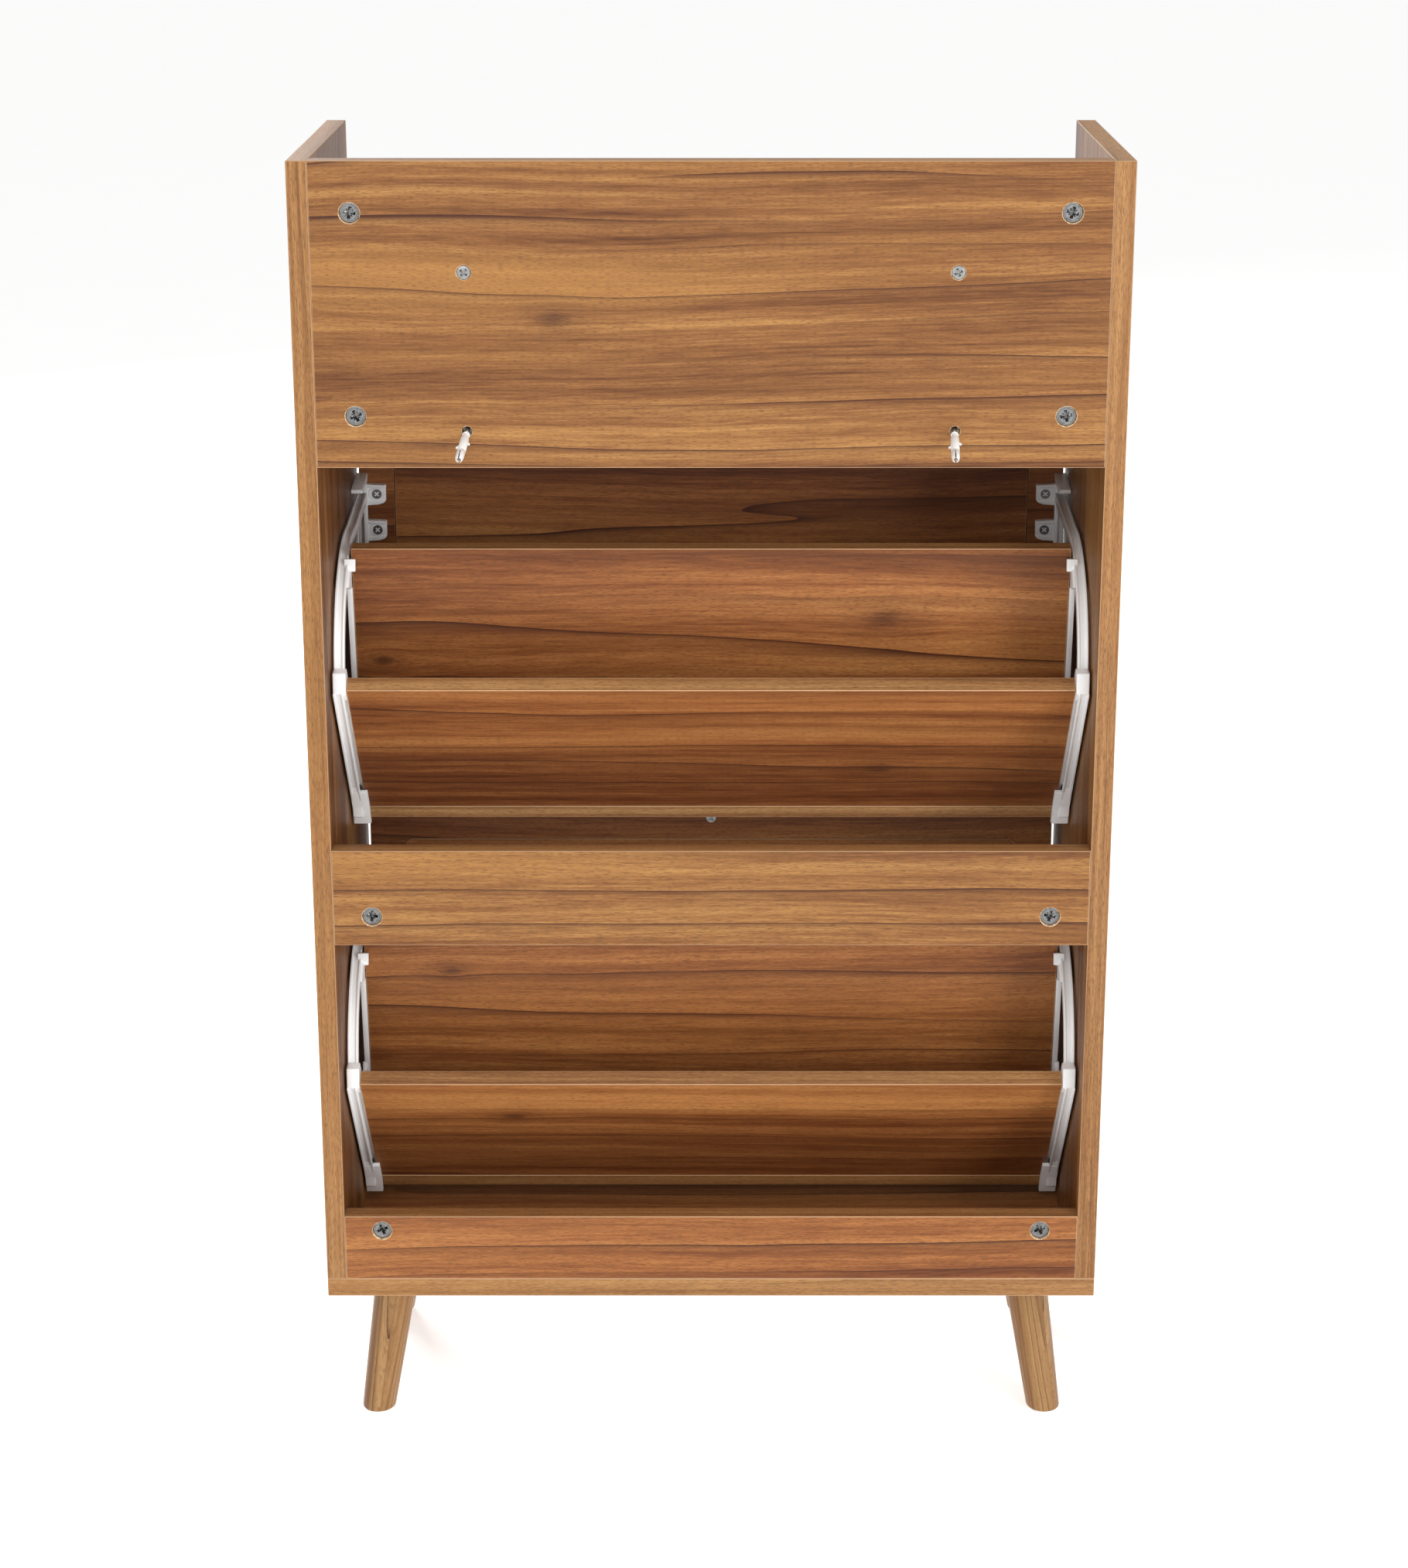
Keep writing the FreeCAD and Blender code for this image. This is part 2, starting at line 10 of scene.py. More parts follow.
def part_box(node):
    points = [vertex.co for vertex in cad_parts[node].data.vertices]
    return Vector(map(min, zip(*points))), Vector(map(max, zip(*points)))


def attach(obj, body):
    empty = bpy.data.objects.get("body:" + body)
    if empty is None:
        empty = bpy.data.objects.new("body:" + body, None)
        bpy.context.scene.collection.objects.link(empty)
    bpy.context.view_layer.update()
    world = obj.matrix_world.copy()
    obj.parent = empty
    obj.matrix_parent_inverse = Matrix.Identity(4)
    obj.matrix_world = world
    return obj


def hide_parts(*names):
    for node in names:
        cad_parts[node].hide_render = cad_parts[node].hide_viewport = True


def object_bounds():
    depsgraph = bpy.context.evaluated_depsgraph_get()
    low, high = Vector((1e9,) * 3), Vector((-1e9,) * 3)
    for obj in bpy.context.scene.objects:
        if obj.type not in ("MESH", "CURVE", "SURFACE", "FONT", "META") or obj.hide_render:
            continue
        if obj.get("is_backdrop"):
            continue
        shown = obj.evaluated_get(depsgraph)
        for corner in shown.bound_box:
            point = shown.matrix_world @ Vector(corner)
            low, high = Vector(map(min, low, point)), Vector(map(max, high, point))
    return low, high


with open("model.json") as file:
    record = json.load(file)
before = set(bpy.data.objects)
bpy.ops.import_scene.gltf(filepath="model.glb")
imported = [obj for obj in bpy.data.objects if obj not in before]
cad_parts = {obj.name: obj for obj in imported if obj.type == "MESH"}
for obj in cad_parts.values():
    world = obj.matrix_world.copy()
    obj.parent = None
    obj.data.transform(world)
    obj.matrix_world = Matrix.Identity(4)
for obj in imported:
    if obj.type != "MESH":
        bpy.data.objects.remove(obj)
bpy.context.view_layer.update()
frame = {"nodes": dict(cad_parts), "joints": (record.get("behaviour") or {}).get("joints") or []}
nodes = frame["nodes"]
mm = 0.001
dice = random.Random(41)
print("frame loaded:", len(nodes), "nodes")

xAxis, yAxis, zAxis = Vector((1, 0, 0)), Vector((0, 1, 0)), Vector((0, 0, 1))
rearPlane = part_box("middle_back_rail")[1].y
pivots = {j["child"].split("_")[0]: Vector(j["pos_m"]) for j in frame["joints"]}
bodyOf = {"upper": "upper_flap", "lower": "lower_flap"}


# Shader maths: a socket that adds its Math nodes when it is used in an expression
class Value:
    def __init__(self, graph, socket):
        self.graph, self.socket = graph, socket

    def maths(self, operation, *inputs):
        return self.graph.add("ShaderNodeMath", {"operation": operation}, dict(enumerate(inputs)))

    def __add__(self, other):
        return self.maths("ADD", self, other)

    def __radd__(self, other):
        return self.maths("ADD", other, self)

    def __sub__(self, other):
        return self.maths("SUBTRACT", self, other)

    def __rsub__(self, other):
        return self.maths("SUBTRACT", other, self)

    def __mul__(self, other):
        return self.maths("MULTIPLY", self, other)

    def __rmul__(self, other):
        return self.maths("MULTIPLY", other, self)

    def __pow__(self, other):
        return self.maths("POWER", self, other)

    def fraction(self):
        return self.maths("FRACT", self)


class Graph:
    def __init__(self, name):
        self.material = bpy.data.materials.new(name)
        self.material.use_nodes = True
        self.tree = self.material.node_tree
        self.tree.nodes.clear()

    # one node: its settings first, then the values or links of its sockets
    def add(self, kind, settings=None, inputs=None, output=0):
        node = self.tree.nodes.new(kind)
        for key, value in (settings or {}).items():
            if key == "stops":
                while len(node.color_ramp.elements) < len(value):
                    node.color_ramp.elements.new(0.5)
                for element, (place, colour) in zip(node.color_ramp.elements, value):
                    element.position = place
                    element.color = (*colour, 1)
            else:
                setattr(node, key, value)
        for key, value in (inputs or {}).items():
            if isinstance(value, Value):
                self.tree.links.new(value.socket, node.inputs[key])
            else:
                node.inputs[key].default_value = value
        if isinstance(output, tuple):
            return [Value(self, node.outputs[o]) for o in output]
        return Value(self, node.outputs[output])

    def clamped(self, value):
        return self.add("ShaderNodeClamp", inputs={"Value": value})

    # 0 below low, 1 above high
    def step(self, value, low, high):
        return self.clamped((value - low) * (1 / (high - low)))

    def noise(self, place, detail=2.0, roughness=0.5, scale=1.0):
        return self.add("ShaderNodeTexNoise", inputs={
            "Vector": place, "Scale": scale, "Detail": detail, "Roughness": roughness})

    def join(self, x, y, z):
        return self.add("ShaderNodeCombineXYZ", inputs={"X": x, "Y": y, "Z": z})

    def parts(self, vector):
        return self.add("ShaderNodeSeparateXYZ", inputs={"Vector": vector}, output=("X", "Y", "Z"))

    def blend(self, share, first, second):
        first = (*first, 1) if isinstance(first, tuple) else first
        second = (*second, 1) if isinstance(second, tuple) else second
        return self.add("ShaderNodeMix", {"data_type": "RGBA"}, {0: share, 6: first, 7: second}, output=2)

    def bump(self, height, strength, distance):
        return self.add("ShaderNodeBump", inputs={
            "Height": height, "Strength": strength, "Distance": distance})

    def finish(self, inputs):
        surface = self.add("ShaderNodeBsdfPrincipled", inputs=inputs)
        self.add("ShaderNodeOutputMaterial", inputs={"Surface": surface}, output=())
        return self.material


# A knot of size 1: its outline is longer along the grain; lengths are in metres from its middle
knotShape = {"slim": 0.5, "pushFrom": 0.034, "push": 0.92, "halo": (0.003, 0.019), "haloShare": 0.42,
             "haloFray": 0.014, "core": (0.0015, 0.0065), "coreShare": 0.62, "coreFray": 0.008}


# How far a point is from a knot, and how much the knot pushes the grain lines round itself.
# The attribute holds the offset along and across the grain, in knot sizes, and the strength.
def knotField(g, attribute):
    offset = g.add("ShaderNodeAttribute", {"attribute_name": attribute}, output="Vector")
    along, across, strength = g.parts(offset)
    reach = g.add("ShaderNodeVectorMath", {"operation": "LENGTH"},
                  {0: g.join(along * knotShape["slim"], across, 0.0)}, output="Value")
    near = (1.0 - g.step(reach, 0.0, knotShape["pushFrom"])) * strength
    return reach, strength, across * near * near * near * knotShape["push"]


# Waves per metre of each layer of the pattern, along the grain and across it. Each wood has its own
# waves across for broad and streak, and clear counts its waves across in growth rings.
waves = {"sway": (1.1, 3.0), "ripple": (7.0, 30.0), "broad": 0.7, "streak": 2.2, "fibre": (30.0, 620.0),
         "cast": (0.9, 13.0), "clear": (1.1, 0.9), "pores": (210.0, 3100.0)}


# Printed walnut pattern, and the same recipe for solid wood. "grain" on each face corner holds
# the place along the grain, across it and between prints, in metres; "arris" marks the rounded edges, which
# are painted paler as wear and as a painted highlight.
def woodMaterial(name, look):
    g = Graph(name)
    grain = g.add("ShaderNodeAttribute", {"attribute_name": "grain"}, output="Vector")
    arris = g.add("ShaderNodeAttribute", {"attribute_name": "arris"}, output="Fac")
    along, across, sheet = g.parts(grain)

    # one layer of noise; moved sets it apart from the others
    def layer(kind, side, detail, moved=0.0, roughness=0.5, crosswise=None):
        length, width = (waves[kind], crosswise) if crosswise else waves[kind]
        place = g.join(along * length, side * width, sheet + moved if moved else sheet)
        return g.noise(place, detail, roughness)

    sway = layer("sway", across, 2.0)
    ripple = layer("ripple", across, 1.0)
    bent = across + (sway - 0.5) * look["sway"] + (ripple - 0.5) * 0.004
    knots = [knotField(g, attribute) for attribute in look["knots"]]
    for _, _, push in knots:
        bent = bent - push
    broad = layer("broad", bent, 2.0, crosswise=look["broad"])
    streak = layer("streak", bent, 4.0, 3.0, 0.62, look["streak"])
    fibre = layer("fibre", bent, 2.0, 5.0, 0.65)
    tone = broad * 0.42 + streak * 0.38 + fibre * 0.20
    colour = g.add("ShaderNodeValToRGB", {"stops": look["stops"]}, {"Fac": tone})
    # patches that lean to gold
    cast = layer("cast", bent, 2.0, 9.0)
    colour = g.blend(g.step(cast, 0.47, 0.68) * look["goldShare"], colour, look["gold"])
    # growth lines darken slowly and end sharply, some clear and some faint
    phase = (bent * look["rings"] + broad * look["ringWarp"]).fraction()
    clear = g.step(layer("clear", bent * look["rings"], 1.0, 7.0), 0.34, 0.52)
    line = (phase ** 24.0) * (clear * 0.9 + 0.1) * look["lines"]
    shade = (phase ** 4.0) * (clear * 0.8 + 0.2) * look["shade"]
    colour = g.blend(g.clamped(line + shade), colour, look["line"])
    pores = layer("pores", bent, 1.0, 11.0)
    pore = g.step(pores, 0.52, 0.66) * look["pores"] * (0.4 + streak * 1.1)
    colour = g.blend(g.clamped(pore), colour, look["pore"])
    for reach, strength, _ in knots:
        halo = (1.0 - g.step(reach + (streak - 0.5) * knotShape["haloFray"], *knotShape["halo"])) * strength
        core = (1.0 - g.step(reach + (fibre - 0.5) * knotShape["coreFray"], *knotShape["core"])) * strength
        colour = g.blend(halo * knotShape["haloShare"], colour, look["line"])
        colour = g.blend(core * knotShape["coreShare"], colour, look["knot"])
    # rounded edges painted paler: partly wear of the print, partly a painted highlight along the edges
    wear = g.clamped(arris * (0.25 + streak * look["wear"]))
    colour = g.blend(wear, colour, look["worn"])
    roughness = look["roughness"] + pore * 0.14 + (fibre - 0.5) * 0.12 + arris * 0.08
    height = fibre * 0.4 - pore - line * 0.5
    return g.finish({"Base Color": colour, "Roughness": roughness, "IOR": 1.45, "Specular IOR Level": 0.3,
                     "Normal": g.bump(height, look["relief"], 0.0002)})


walnut = {
    "sway": 0.060, "broad": 17.0, "streak": 100.0, "rings": 38.0, "ringWarp": 3.4,
    "lines": 0.92, "shade": 0.42, "goldShare": 0.58, "pores": 0.54, "wear": 0.7, "roughness": 0.42,
    "relief": 0.3, "knots": ("knotOne", "knotTwo"),
    "stops": [(0.37, (0.060, 0.018, 0.005)), (0.44, (0.142, 0.050, 0.013)), (0.52, (0.252, 0.104, 0.030)),
              (0.61, (0.415, 0.205, 0.062))],
    "line": (0.060, 0.016, 0.006), "gold": (0.425, 0.204, 0.056),
    # the pale colour of the rounded edges is wear plus a painted highlight
    "pore": (0.066, 0.023, 0.0085), "knot": (0.042, 0.015, 0.007), "worn": (0.520, 0.335, 0.190),
}
carcassWood = woodMaterial("walnutBoard", walnut)
innerWood = woodMaterial("walnutInner", {
    **walnut, "sway": 0.05, "broad": 14.0, "rings": 27.0, "lines": 0.80, "shade": 0.32, "goldShare": 0.20,
    "stops": [(0.36, (0.105, 0.027, 0.0075)), (0.44, (0.200, 0.062, 0.017)), (0.52, (0.325, 0.118, 0.034)),
              (0.62, (0.480, 0.205, 0.062))],
    "gold": (0.46, 0.20, 0.055), "worn": (0.62, 0.40, 0.23)})
edgeWood = woodMaterial("walnutEdge", {
    **walnut, "sway": 0.010, "broad": 70.0, "streak": 300.0, "rings": 90.0, "lines": 0.30, "shade": 0.1,
    "knots": (), "goldShare": 0.3, "relief": 0.2,
    "stops": [(0.36, (0.155, 0.062, 0.020)), (0.45, (0.255, 0.114, 0.039)), (0.53, (0.345, 0.172, 0.063)),
              (0.64, (0.450, 0.250, 0.098))]})
legWood = woodMaterial("lightAsh", {
    **walnut, "sway": 0.004, "broad": 60.0, "streak": 320.0, "rings": 260.0, "ringWarp": 0.5, "lines": 0.75,
    "shade": 0.60, "knots": (), "goldShare": 0.1, "pores": 0.40, "relief": 0.35, "roughness": 0.36,
    "stops": [(0.36, (0.150, 0.064, 0.021)), (0.45, (0.235, 0.112, 0.039)), (0.53, (0.310, 0.166, 0.062)),
              (0.64, (0.400, 0.236, 0.098))],
    "line": (0.085, 0.030, 0.009), "gold": (0.39, 0.22, 0.08), "pore": (0.15, 0.066, 0.026),
    "worn": (0.60, 0.39, 0.19)})


# Raw board core inside drilled holes: pressed chips
chip = {"perMetre": 700.0, "stops": [(0.0, (0.34, 0.21, 0.11)), (0.5, (0.60, 0.41, 0.24)),
                                     (1.0, (0.76, 0.57, 0.37))]}


def chipMaterial():
    g = Graph("chipCore")
    place = g.add("ShaderNodeTexCoord", output="Object")
    chips, tint = g.add("ShaderNodeTexVoronoi", inputs={"Vector": place, "Scale": chip["perMetre"]},
                        output=("Distance", "Color"))
    shade = g.add("ShaderNodeSeparateColor", inputs={"Color": tint})
    colour = g.add("ShaderNodeValToRGB", {"stops": chip["stops"]}, {"Fac": shade})
    return g.finish({"Base Color": colour, "Roughness": 0.9 - shade * 0.15,
                     "Normal": g.bump(chips, 0.6, 0.0004)})


# Moulded plastic: fine spark texture, faint flow marks, handling marks that dull the sheen
def plasticMaterial(name, light, shade, roughness, grainSize):
    g = Graph(name)
    place = g.add("ShaderNodeTexCoord", output="Object")
    flow = g.noise(place, 3.0, 0.5, 22.0)
    spark = g.noise(place, 2.0, 0.6, grainSize)
    marks = g.step(g.noise(place, 4.0, 0.65, 90.0), 0.52, 0.72)
    colour = g.blend(g.clamped(flow * 0.8 + marks * 0.25 - 0.1), light, shade)
    return g.finish({"Base Color": colour, "Roughness": roughness + marks * 0.12 + (spark - 0.5) * 0.1,
                     "IOR": 1.5, "Normal": g.bump(spark + flow * 0.3, 0.16, 0.00025)})


# Plated or cast metal with a brushed or pitted skin
def metalMaterial(name, look):
    g = Graph(name)
    place = g.add("ShaderNodeTexCoord", output="Object")
    cloud = g.noise(place, 3.0, 0.6, look["cloud"])
    skin = g.noise(place, 2.0, 0.6, look["skin"])
    spots = g.step(g.noise(place, 2.0, 0.5, look["cloud"] * 2.7), 0.56, 0.70)
    colour = g.blend(g.clamped(cloud * 0.9 + spots * look["tarnish"] - 0.1), look["bright"], look["dull"])
    return g.finish({"Base Color": colour, "Metallic": 1.0,
                     "Roughness": look["roughness"] + cloud * 0.14 + spots * 0.1,
                     "Normal": g.bump(skin, look["relief"], 0.0002)})


chipCore = chipMaterial()
framePlastic = plasticMaterial("framePlastic", (0.90, 0.90, 0.895), (0.82, 0.82, 0.82), 0.36, 1400.0)
milkyNylon = plasticMaterial("milkyNylon", (0.86, 0.86, 0.84), (0.76, 0.76, 0.73), 0.34, 900.0)
castZinc = metalMaterial("castZinc", {
    "bright": (0.29, 0.29, 0.29), "dull": (0.11, 0.11, 0.108), "roughness": 0.34,
    "cloud": 240.0, "skin": 2600.0, "relief": 0.30, "tarnish": 0.5})
plateSteel = metalMaterial("zincPlate", {
    "bright": (0.66, 0.66, 0.64), "dull": (0.45, 0.45, 0.44), "roughness": 0.26,
    "cloud": 60.0, "skin": 1500.0, "relief": 0.15, "tarnish": 0.3})
screwSteel = metalMaterial("screwSteel", {
    "bright": (0.40, 0.40, 0.395), "dull": (0.17, 0.17, 0.167), "roughness": 0.26,
    "cloud": 350.0, "skin": 3000.0, "relief": 0.12, "tarnish": 0.4})


# Raw beech pegs
def pegMaterial():
    g = Graph("rawBeech")
    place = g.add("ShaderNodeTexCoord", output="Object")
    x, y, z = g.parts(place)
    streak = g.noise(g.join(x * 60.0, y * 900.0, z * 900.0), 2.0)
    colour = g.blend(streak, (0.62, 0.43, 0.26), (0.46, 0.29, 0.16))
    return g.finish({"Base Color": colour, "Roughness": 0.6 + streak * 0.15,
                     "Normal": g.bump(streak, 0.3, 0.0003)})


rawBeech = pegMaterial()
print("materials made:", len(bpy.data.materials))


# Mesh helpers. Pieces are made in their own frame and moved into the row frame by a matrix.
def setMatrix(origin, x, y, z):
    return Matrix.Translation(origin) @ Matrix((x, y, z)).transposed().to_4x4()


# a frame whose z points along the given direction
def aim(origin, direction, roll=0.0):
    turn = direction.normalized().to_track_quat("Z", "Y").to_matrix().to_4x4()
    return Matrix.Translation(origin) @ turn @ Matrix.Rotation(roll, 4, "Z")


def toObject(name, bm, materials):
    bmesh.ops.recalc_face_normals(bm, faces=bm.faces[:])
    mesh = bpy.data.meshes.new(name)
    bm.to_mesh(mesh)
    bm.free()
    for material in materials:
        mesh.materials.append(material)
    obj = bpy.data.objects.new(name, mesh)
    bpy.context.scene.collection.objects.link(obj)
    return obj


def smooth(obj, angle=32.0):
    mesh = obj.data
    mesh.polygons.foreach_set("use_smooth", [True] * len(mesh.polygons))
    mesh.set_sharp_from_angle(angle=math.radians(angle))


def mount(obj, body, node):
    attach(obj, body)
    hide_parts(node)


# skin a list of closed loops of equal length, with flat ends unless it closes on itself
def loft(bm, loops, closed=False):
    rows = [[bm.verts.new(p) for p in loop] for loop in loops]
    pairs = list(zip(rows, rows[1:])) + ([(rows[-1], rows[0])] if closed else [])
    for low, high in pairs:
        for i in range(len(low)):
            j = (i + 1) % len(low)
            bm.faces.new((low[i], low[j], high[j], high[i]))
    if not closed:
        bm.faces.new(rows[0])
        bm.faces.new(list(reversed(rows[-1])))


# a turned shape from (radius, height) points; matrix puts its axis where it belongs
def turned(bm, profile, matrix, sides=40, closed=False):
    loops = []
    for radius, height in profile:
        loops.append([matrix @ Vector((radius * math.cos(a), radius * math.sin(a), height))
                      for a in (2 * math.pi * i / sides for i in range(sides))])
    loft(bm, loops, closed)


# corner points of a rectangle with round corners, in the x-y plane
def roundedRectangle(wide, tall, corner, perCorner=6):
    points = []
    for sx, sy, start in ((1, 1, 0), (-1, 1, 90), (-1, -1, 180), (1, -1, 270)):
        for i in range(perCorner + 1):
            a = math.radians(start + 90 * i / perCorner)
            points.append((sx * (wide / 2 - corner) + corner * math.cos(a),
                           sy * (tall / 2 - corner) + corner * math.sin(a)))
    return points


# an outline of straight runs and arcs ("arc", a point on the way, the end), as even points
def traced(outline, perArc=14):
    points = [outline[0]]
    i = 1
    while i < len(outline):
        if outline[i] != "arc":
            points.append(outline[i])
            i += 1
            continue
        (ax, ay), (bx, by), (cx, cy) = points[-1], outline[i + 1], outline[i + 2]
        d = 2 * (ax * (by - cy) + bx * (cy - ay) + cx * (ay - by))
        a2, b2, c2 = ax * ax + ay * ay, bx * bx + by * by, cx * cx + cy * cy
        ux = (a2 * (by - cy) + b2 * (cy - ay) + c2 * (ay - by)) / d
        uy = (a2 * (cx - bx) + b2 * (ax - cx) + c2 * (bx - ax)) / d
        radius = math.hypot(ax - ux, ay - uy)
        first, last = math.atan2(ay - uy, ax - ux), math.atan2(cy - uy, cx - ux)
        sweep = (last - first + math.pi) % (2 * math.pi) - math.pi
        for k in range(1, perArc + 1):
            a = first + sweep * k / perArc
            points.append((ux + radius * math.cos(a), uy + radius * math.sin(a)))
        i += 3
    return points


# a slab with a flat outline and eased edges
def slab(bm, outline, toWorld, near, far, ease):
    part = bmesh.new()
    low = [part.verts.new((a, b, near)) for a, b in outline]
    high = [part.verts.new((a, b, far)) for a, b in outline]
    part.faces.new(low)
    part.faces.new(list(reversed(high)))
    for i in range(len(low)):
        j = (i + 1) % len(low)
        part.faces.new((low[j], low[i], high[i], high[j]))
    bmesh.ops.recalc_face_normals(part, faces=part.faces[:])
    edges = [e for e in part.edges if e.calc_face_angle(0) > math.radians(25)]
    if ease:
        bmesh.ops.bevel(part, geom=edges, offset=ease, segments=3, profile=0.5, affect="EDGES",
                        clamp_overlap=True)
    addTo(bm, part, toWorld)


def addTo(bm, part, matrix=None):
    if matrix is not None:
        bmesh.ops.transform(part, matrix=matrix, verts=part.verts[:])
    bmesh.ops.recalc_face_normals(part, faces=part.faces[:])
    mesh = bpy.data.meshes.new("part")
    part.to_mesh(mesh)
    part.free()
    bm.from_mesh(mesh)
    bpy.data.meshes.remove(mesh)


# cut obj by the shapes in each cutter mesh, then keep the result as its plain mesh
def carve(obj, cutters):
    tools = []
    for i, cutter in enumerate(cutters):
        tool = toObject("cutter%d" % i, cutter[0], cutter[1])
        modifier = obj.modifiers.new("cut", "BOOLEAN")
        modifier.operation, modifier.solver, modifier.object = "DIFFERENCE", "EXACT", tool
        modifier.material_mode = "TRANSFER"
        tools.append(tool)
    bpy.context.view_layer.update()
    graph = bpy.context.evaluated_depsgraph_get()
    result = bpy.data.meshes.new_from_object(obj.evaluated_get(graph))
    old = obj.data
    obj.modifiers.clear()
    obj.data = result
    bpy.data.meshes.remove(old)
    result.name = obj.name
    for tool in tools:
        bpy.data.objects.remove(tool)


# a hole from a face inwards, its mouth broken by a small chamfer
def holeCutter(bm, spot, inward, radius, depth, chamfer=0.4 * mm):
    turned(bm, [(radius + chamfer * 2, -chamfer), (radius + chamfer, 0), (radius, chamfer), (radius, depth)],
           aim(spot, inward), 40)


# Boards. Each is measured from its node, so leaning ones come out right too.
def measured(node, axes):
    points = [v.co for v in nodes[node].data.vertices]
    spans = [(min(p.dot(a) for p in points), max(p.dot(a) for p in points)) for a in axes]
    centre = sum(((low + high) / 2 * a for (low, high), a in zip(spans, axes)), Vector())
    return centre, [high - low for low, high in spans]


bandIndex, coreIndex = 1, 2  # in a board's materials, after the wood of its faces


def boardMesh(name, centre, size, axes, faceWood, bandWood, ease):
    bm = bmesh.new()
    bmesh.ops.create_cube(bm, size=1.0)
    bmesh.ops.scale(bm, vec=Vector(size), verts=bm.verts[:])
    bmesh.ops.bevel(bm, geom=bm.edges[:], offset=ease, segments=3, profile=0.5, affect="EDGES")
    obj = toObject(name, bm, [faceWood, bandWood, chipCore])
    obj.matrix_world = setMatrix(centre, *axes)
    return obj


def writeGrain(mesh, places, worn, knots=()):
    grain = mesh.attributes.new("grain", "FLOAT_VECTOR", "CORNER")
    grain.data.foreach_set("vector", [number for place in places for number in place])
    arris = mesh.attributes.new("arris", "FLOAT", "CORNER")
    arris.data.foreach_set("value", worn)
    for name, offsets in knots:
        offset = mesh.attributes.new(name, "FLOAT_VECTOR", "CORNER")
        offset.data.foreach_set("vector", [number for place in offsets for number in place])


# Where each face of a board lies in its print: the face, the long edges and the ends come from
# different sheets, and opposite ones are shifted, so that no two show the same grain
sheets = {"face": 0.3, "edge": 1.3, "end": 2.3, "edgeShift": 0.21, "endShift": 0.17}
facing = {"flat": 0.995, "outer": 0.3 * mm}  # how square a face is to its axis, how near to the outside
farKnot = (9.0, 9.0, 1.0, 0.0)               # stands for a knot that a board lacks


# write the grain coordinates, the mark of the rounded edges that are painted paler as wear and as a painted
# highlight, and the knots, with edge banding on the narrow faces
def grainFor(obj, size, drift, knots=()):
    mesh = obj.data
    places, worn = [(0.0, 0.0, 0.0)] * len(mesh.loops), [0.0] * len(mesh.loops)
    half = [s / 2 for s in size]
    for face in mesh.polygons:
        n = face.normal
        flat = max(abs(n.x), abs(n.y), abs(n.z)) > facing["flat"]
        axis = max(range(3), key=lambda k: abs(n[k]))
        side = 1.0 if n[axis] > 0 else -1.0
        outer = abs(abs(face.center[axis]) - half[axis]) < facing["outer"]
        face.use_smooth = not flat
        if face.material_index == coreIndex:
            continue
        if flat and outer and axis != 2:
            face.material_index = bandIndex
        for loop in face.loop_indices:
            x, y, z = mesh.vertices[mesh.loops[loop].vertex_index].co
            if axis == 2 or not flat:
                place = (x, y, sheets["face"] * side)
            elif axis == 1:
                place = (x, z + sheets["edgeShift"] * side, sheets["edge"])
            else:
                place = (y, z + sheets["endShift"] * side, sheets["end"])
            places[loop] = (place[0] + drift[0], place[1] + drift[1], place[2] + drift[2])
            worn[loop] = 0.0 if flat else 1.0
    fields = []
    spots = list(knots) + [farKnot] * (2 - len(knots))
    corners = [mesh.vertices[loop.vertex_index].co for loop in mesh.loops]
    for name, (x, y, big, strength) in zip(walnut["knots"], spots):
        fields.append((name, [((c.x - x) / big, (c.y - y) / big, strength) for c in corners]))
    writeGrain(mesh, places, worn, fields)


# how far a board's print is moved, along, across and between sheets
def drifted():
    return (dice.uniform(0, 8), dice.uniform(0, 3), dice.uniform(0, 20))


# where each board's print shows a knot: along and across from its middle in mm, size, strength
knotPlaces = {
    "upper_back_panel": [(113, -2, 1.15, 0.75)],
    "side_panel_left": [(-210, 40, 1.1, 0.9), (260, -55, 0.8, 0.8)],
    "side_panel_right": [(150, -35, 1.0, 0.9)],
    "top_board": [(-150, 30, 1.0, 0.8)],
    "niche_floor": [(90, -40, 0.9, 0.8)],
    "upper_front_tier_back": [(252, -24, 0.75, 1.0), (-133, 11, 1.3, 0.8)],
    "upper_rear_tier_back": [(-130, -27, 1.1, 0.75)],
    "lower_front_tier_back": [(205, 44, 0.8, 0.85)],
    "lower_rear_tier_back": [(155, 26, 0.8, 0.85)],
    "upper_door_panel": [(-120, 40, 1.0, 0.9)],
    "lower_door_panel": [(170, -30, 1.0, 0.9)],
}


def knotsOf(node):
    return [(x * mm, y * mm, big, strength) for x, y, big, strength in knotPlaces.get(node, ())]


def makeBoard(name, node, axes, body, woods, cutters=(), ease=0.6 * mm):
    centre, size = measured(node, axes)
    obj = boardMesh(name, centre, size, axes, *woods, ease)
    if cutters:
        carve(obj, cutters)
    grainFor(obj, size, drifted(), knotsOf(node))
    mount(obj, body, node)


fittings = {
    "camRadius": 7.5 * mm, "camDepth": 12.4 * mm, "camInset": 29 * mm,
    "backCams": (973 * mm, 826 * mm), "middleCam": 440 * mm, "bottomCam": 178.3 * mm, "shelfCams": 70 * mm,
    "spread": 176 * mm, "boltHead": 5.2 * mm, "boltHeadDepth": 2.0 * mm,
    "wallHole": 3.8 * mm, "wallHoleDepth": 16 * mm, "wallScrewUp": 815 * mm,
    "baseScrews": (292.5 * mm, 98 * mm), "baseHead": 5.1 * mm, "baseHeadDepth": 4.1 * mm,
}
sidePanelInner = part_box("side_panel_right")[0].x
topBoardLow, topBoardHigh = (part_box("top_board")[i].z for i in (0, 1))
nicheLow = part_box("niche_floor")[0].z
middleY = (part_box("bottom_board")[0].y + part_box("bottom_board")[1].y) / 2
camX = sidePanelInner - fittings["camInset"]
boltUp = (topBoardLow + topBoardHigh) / 2


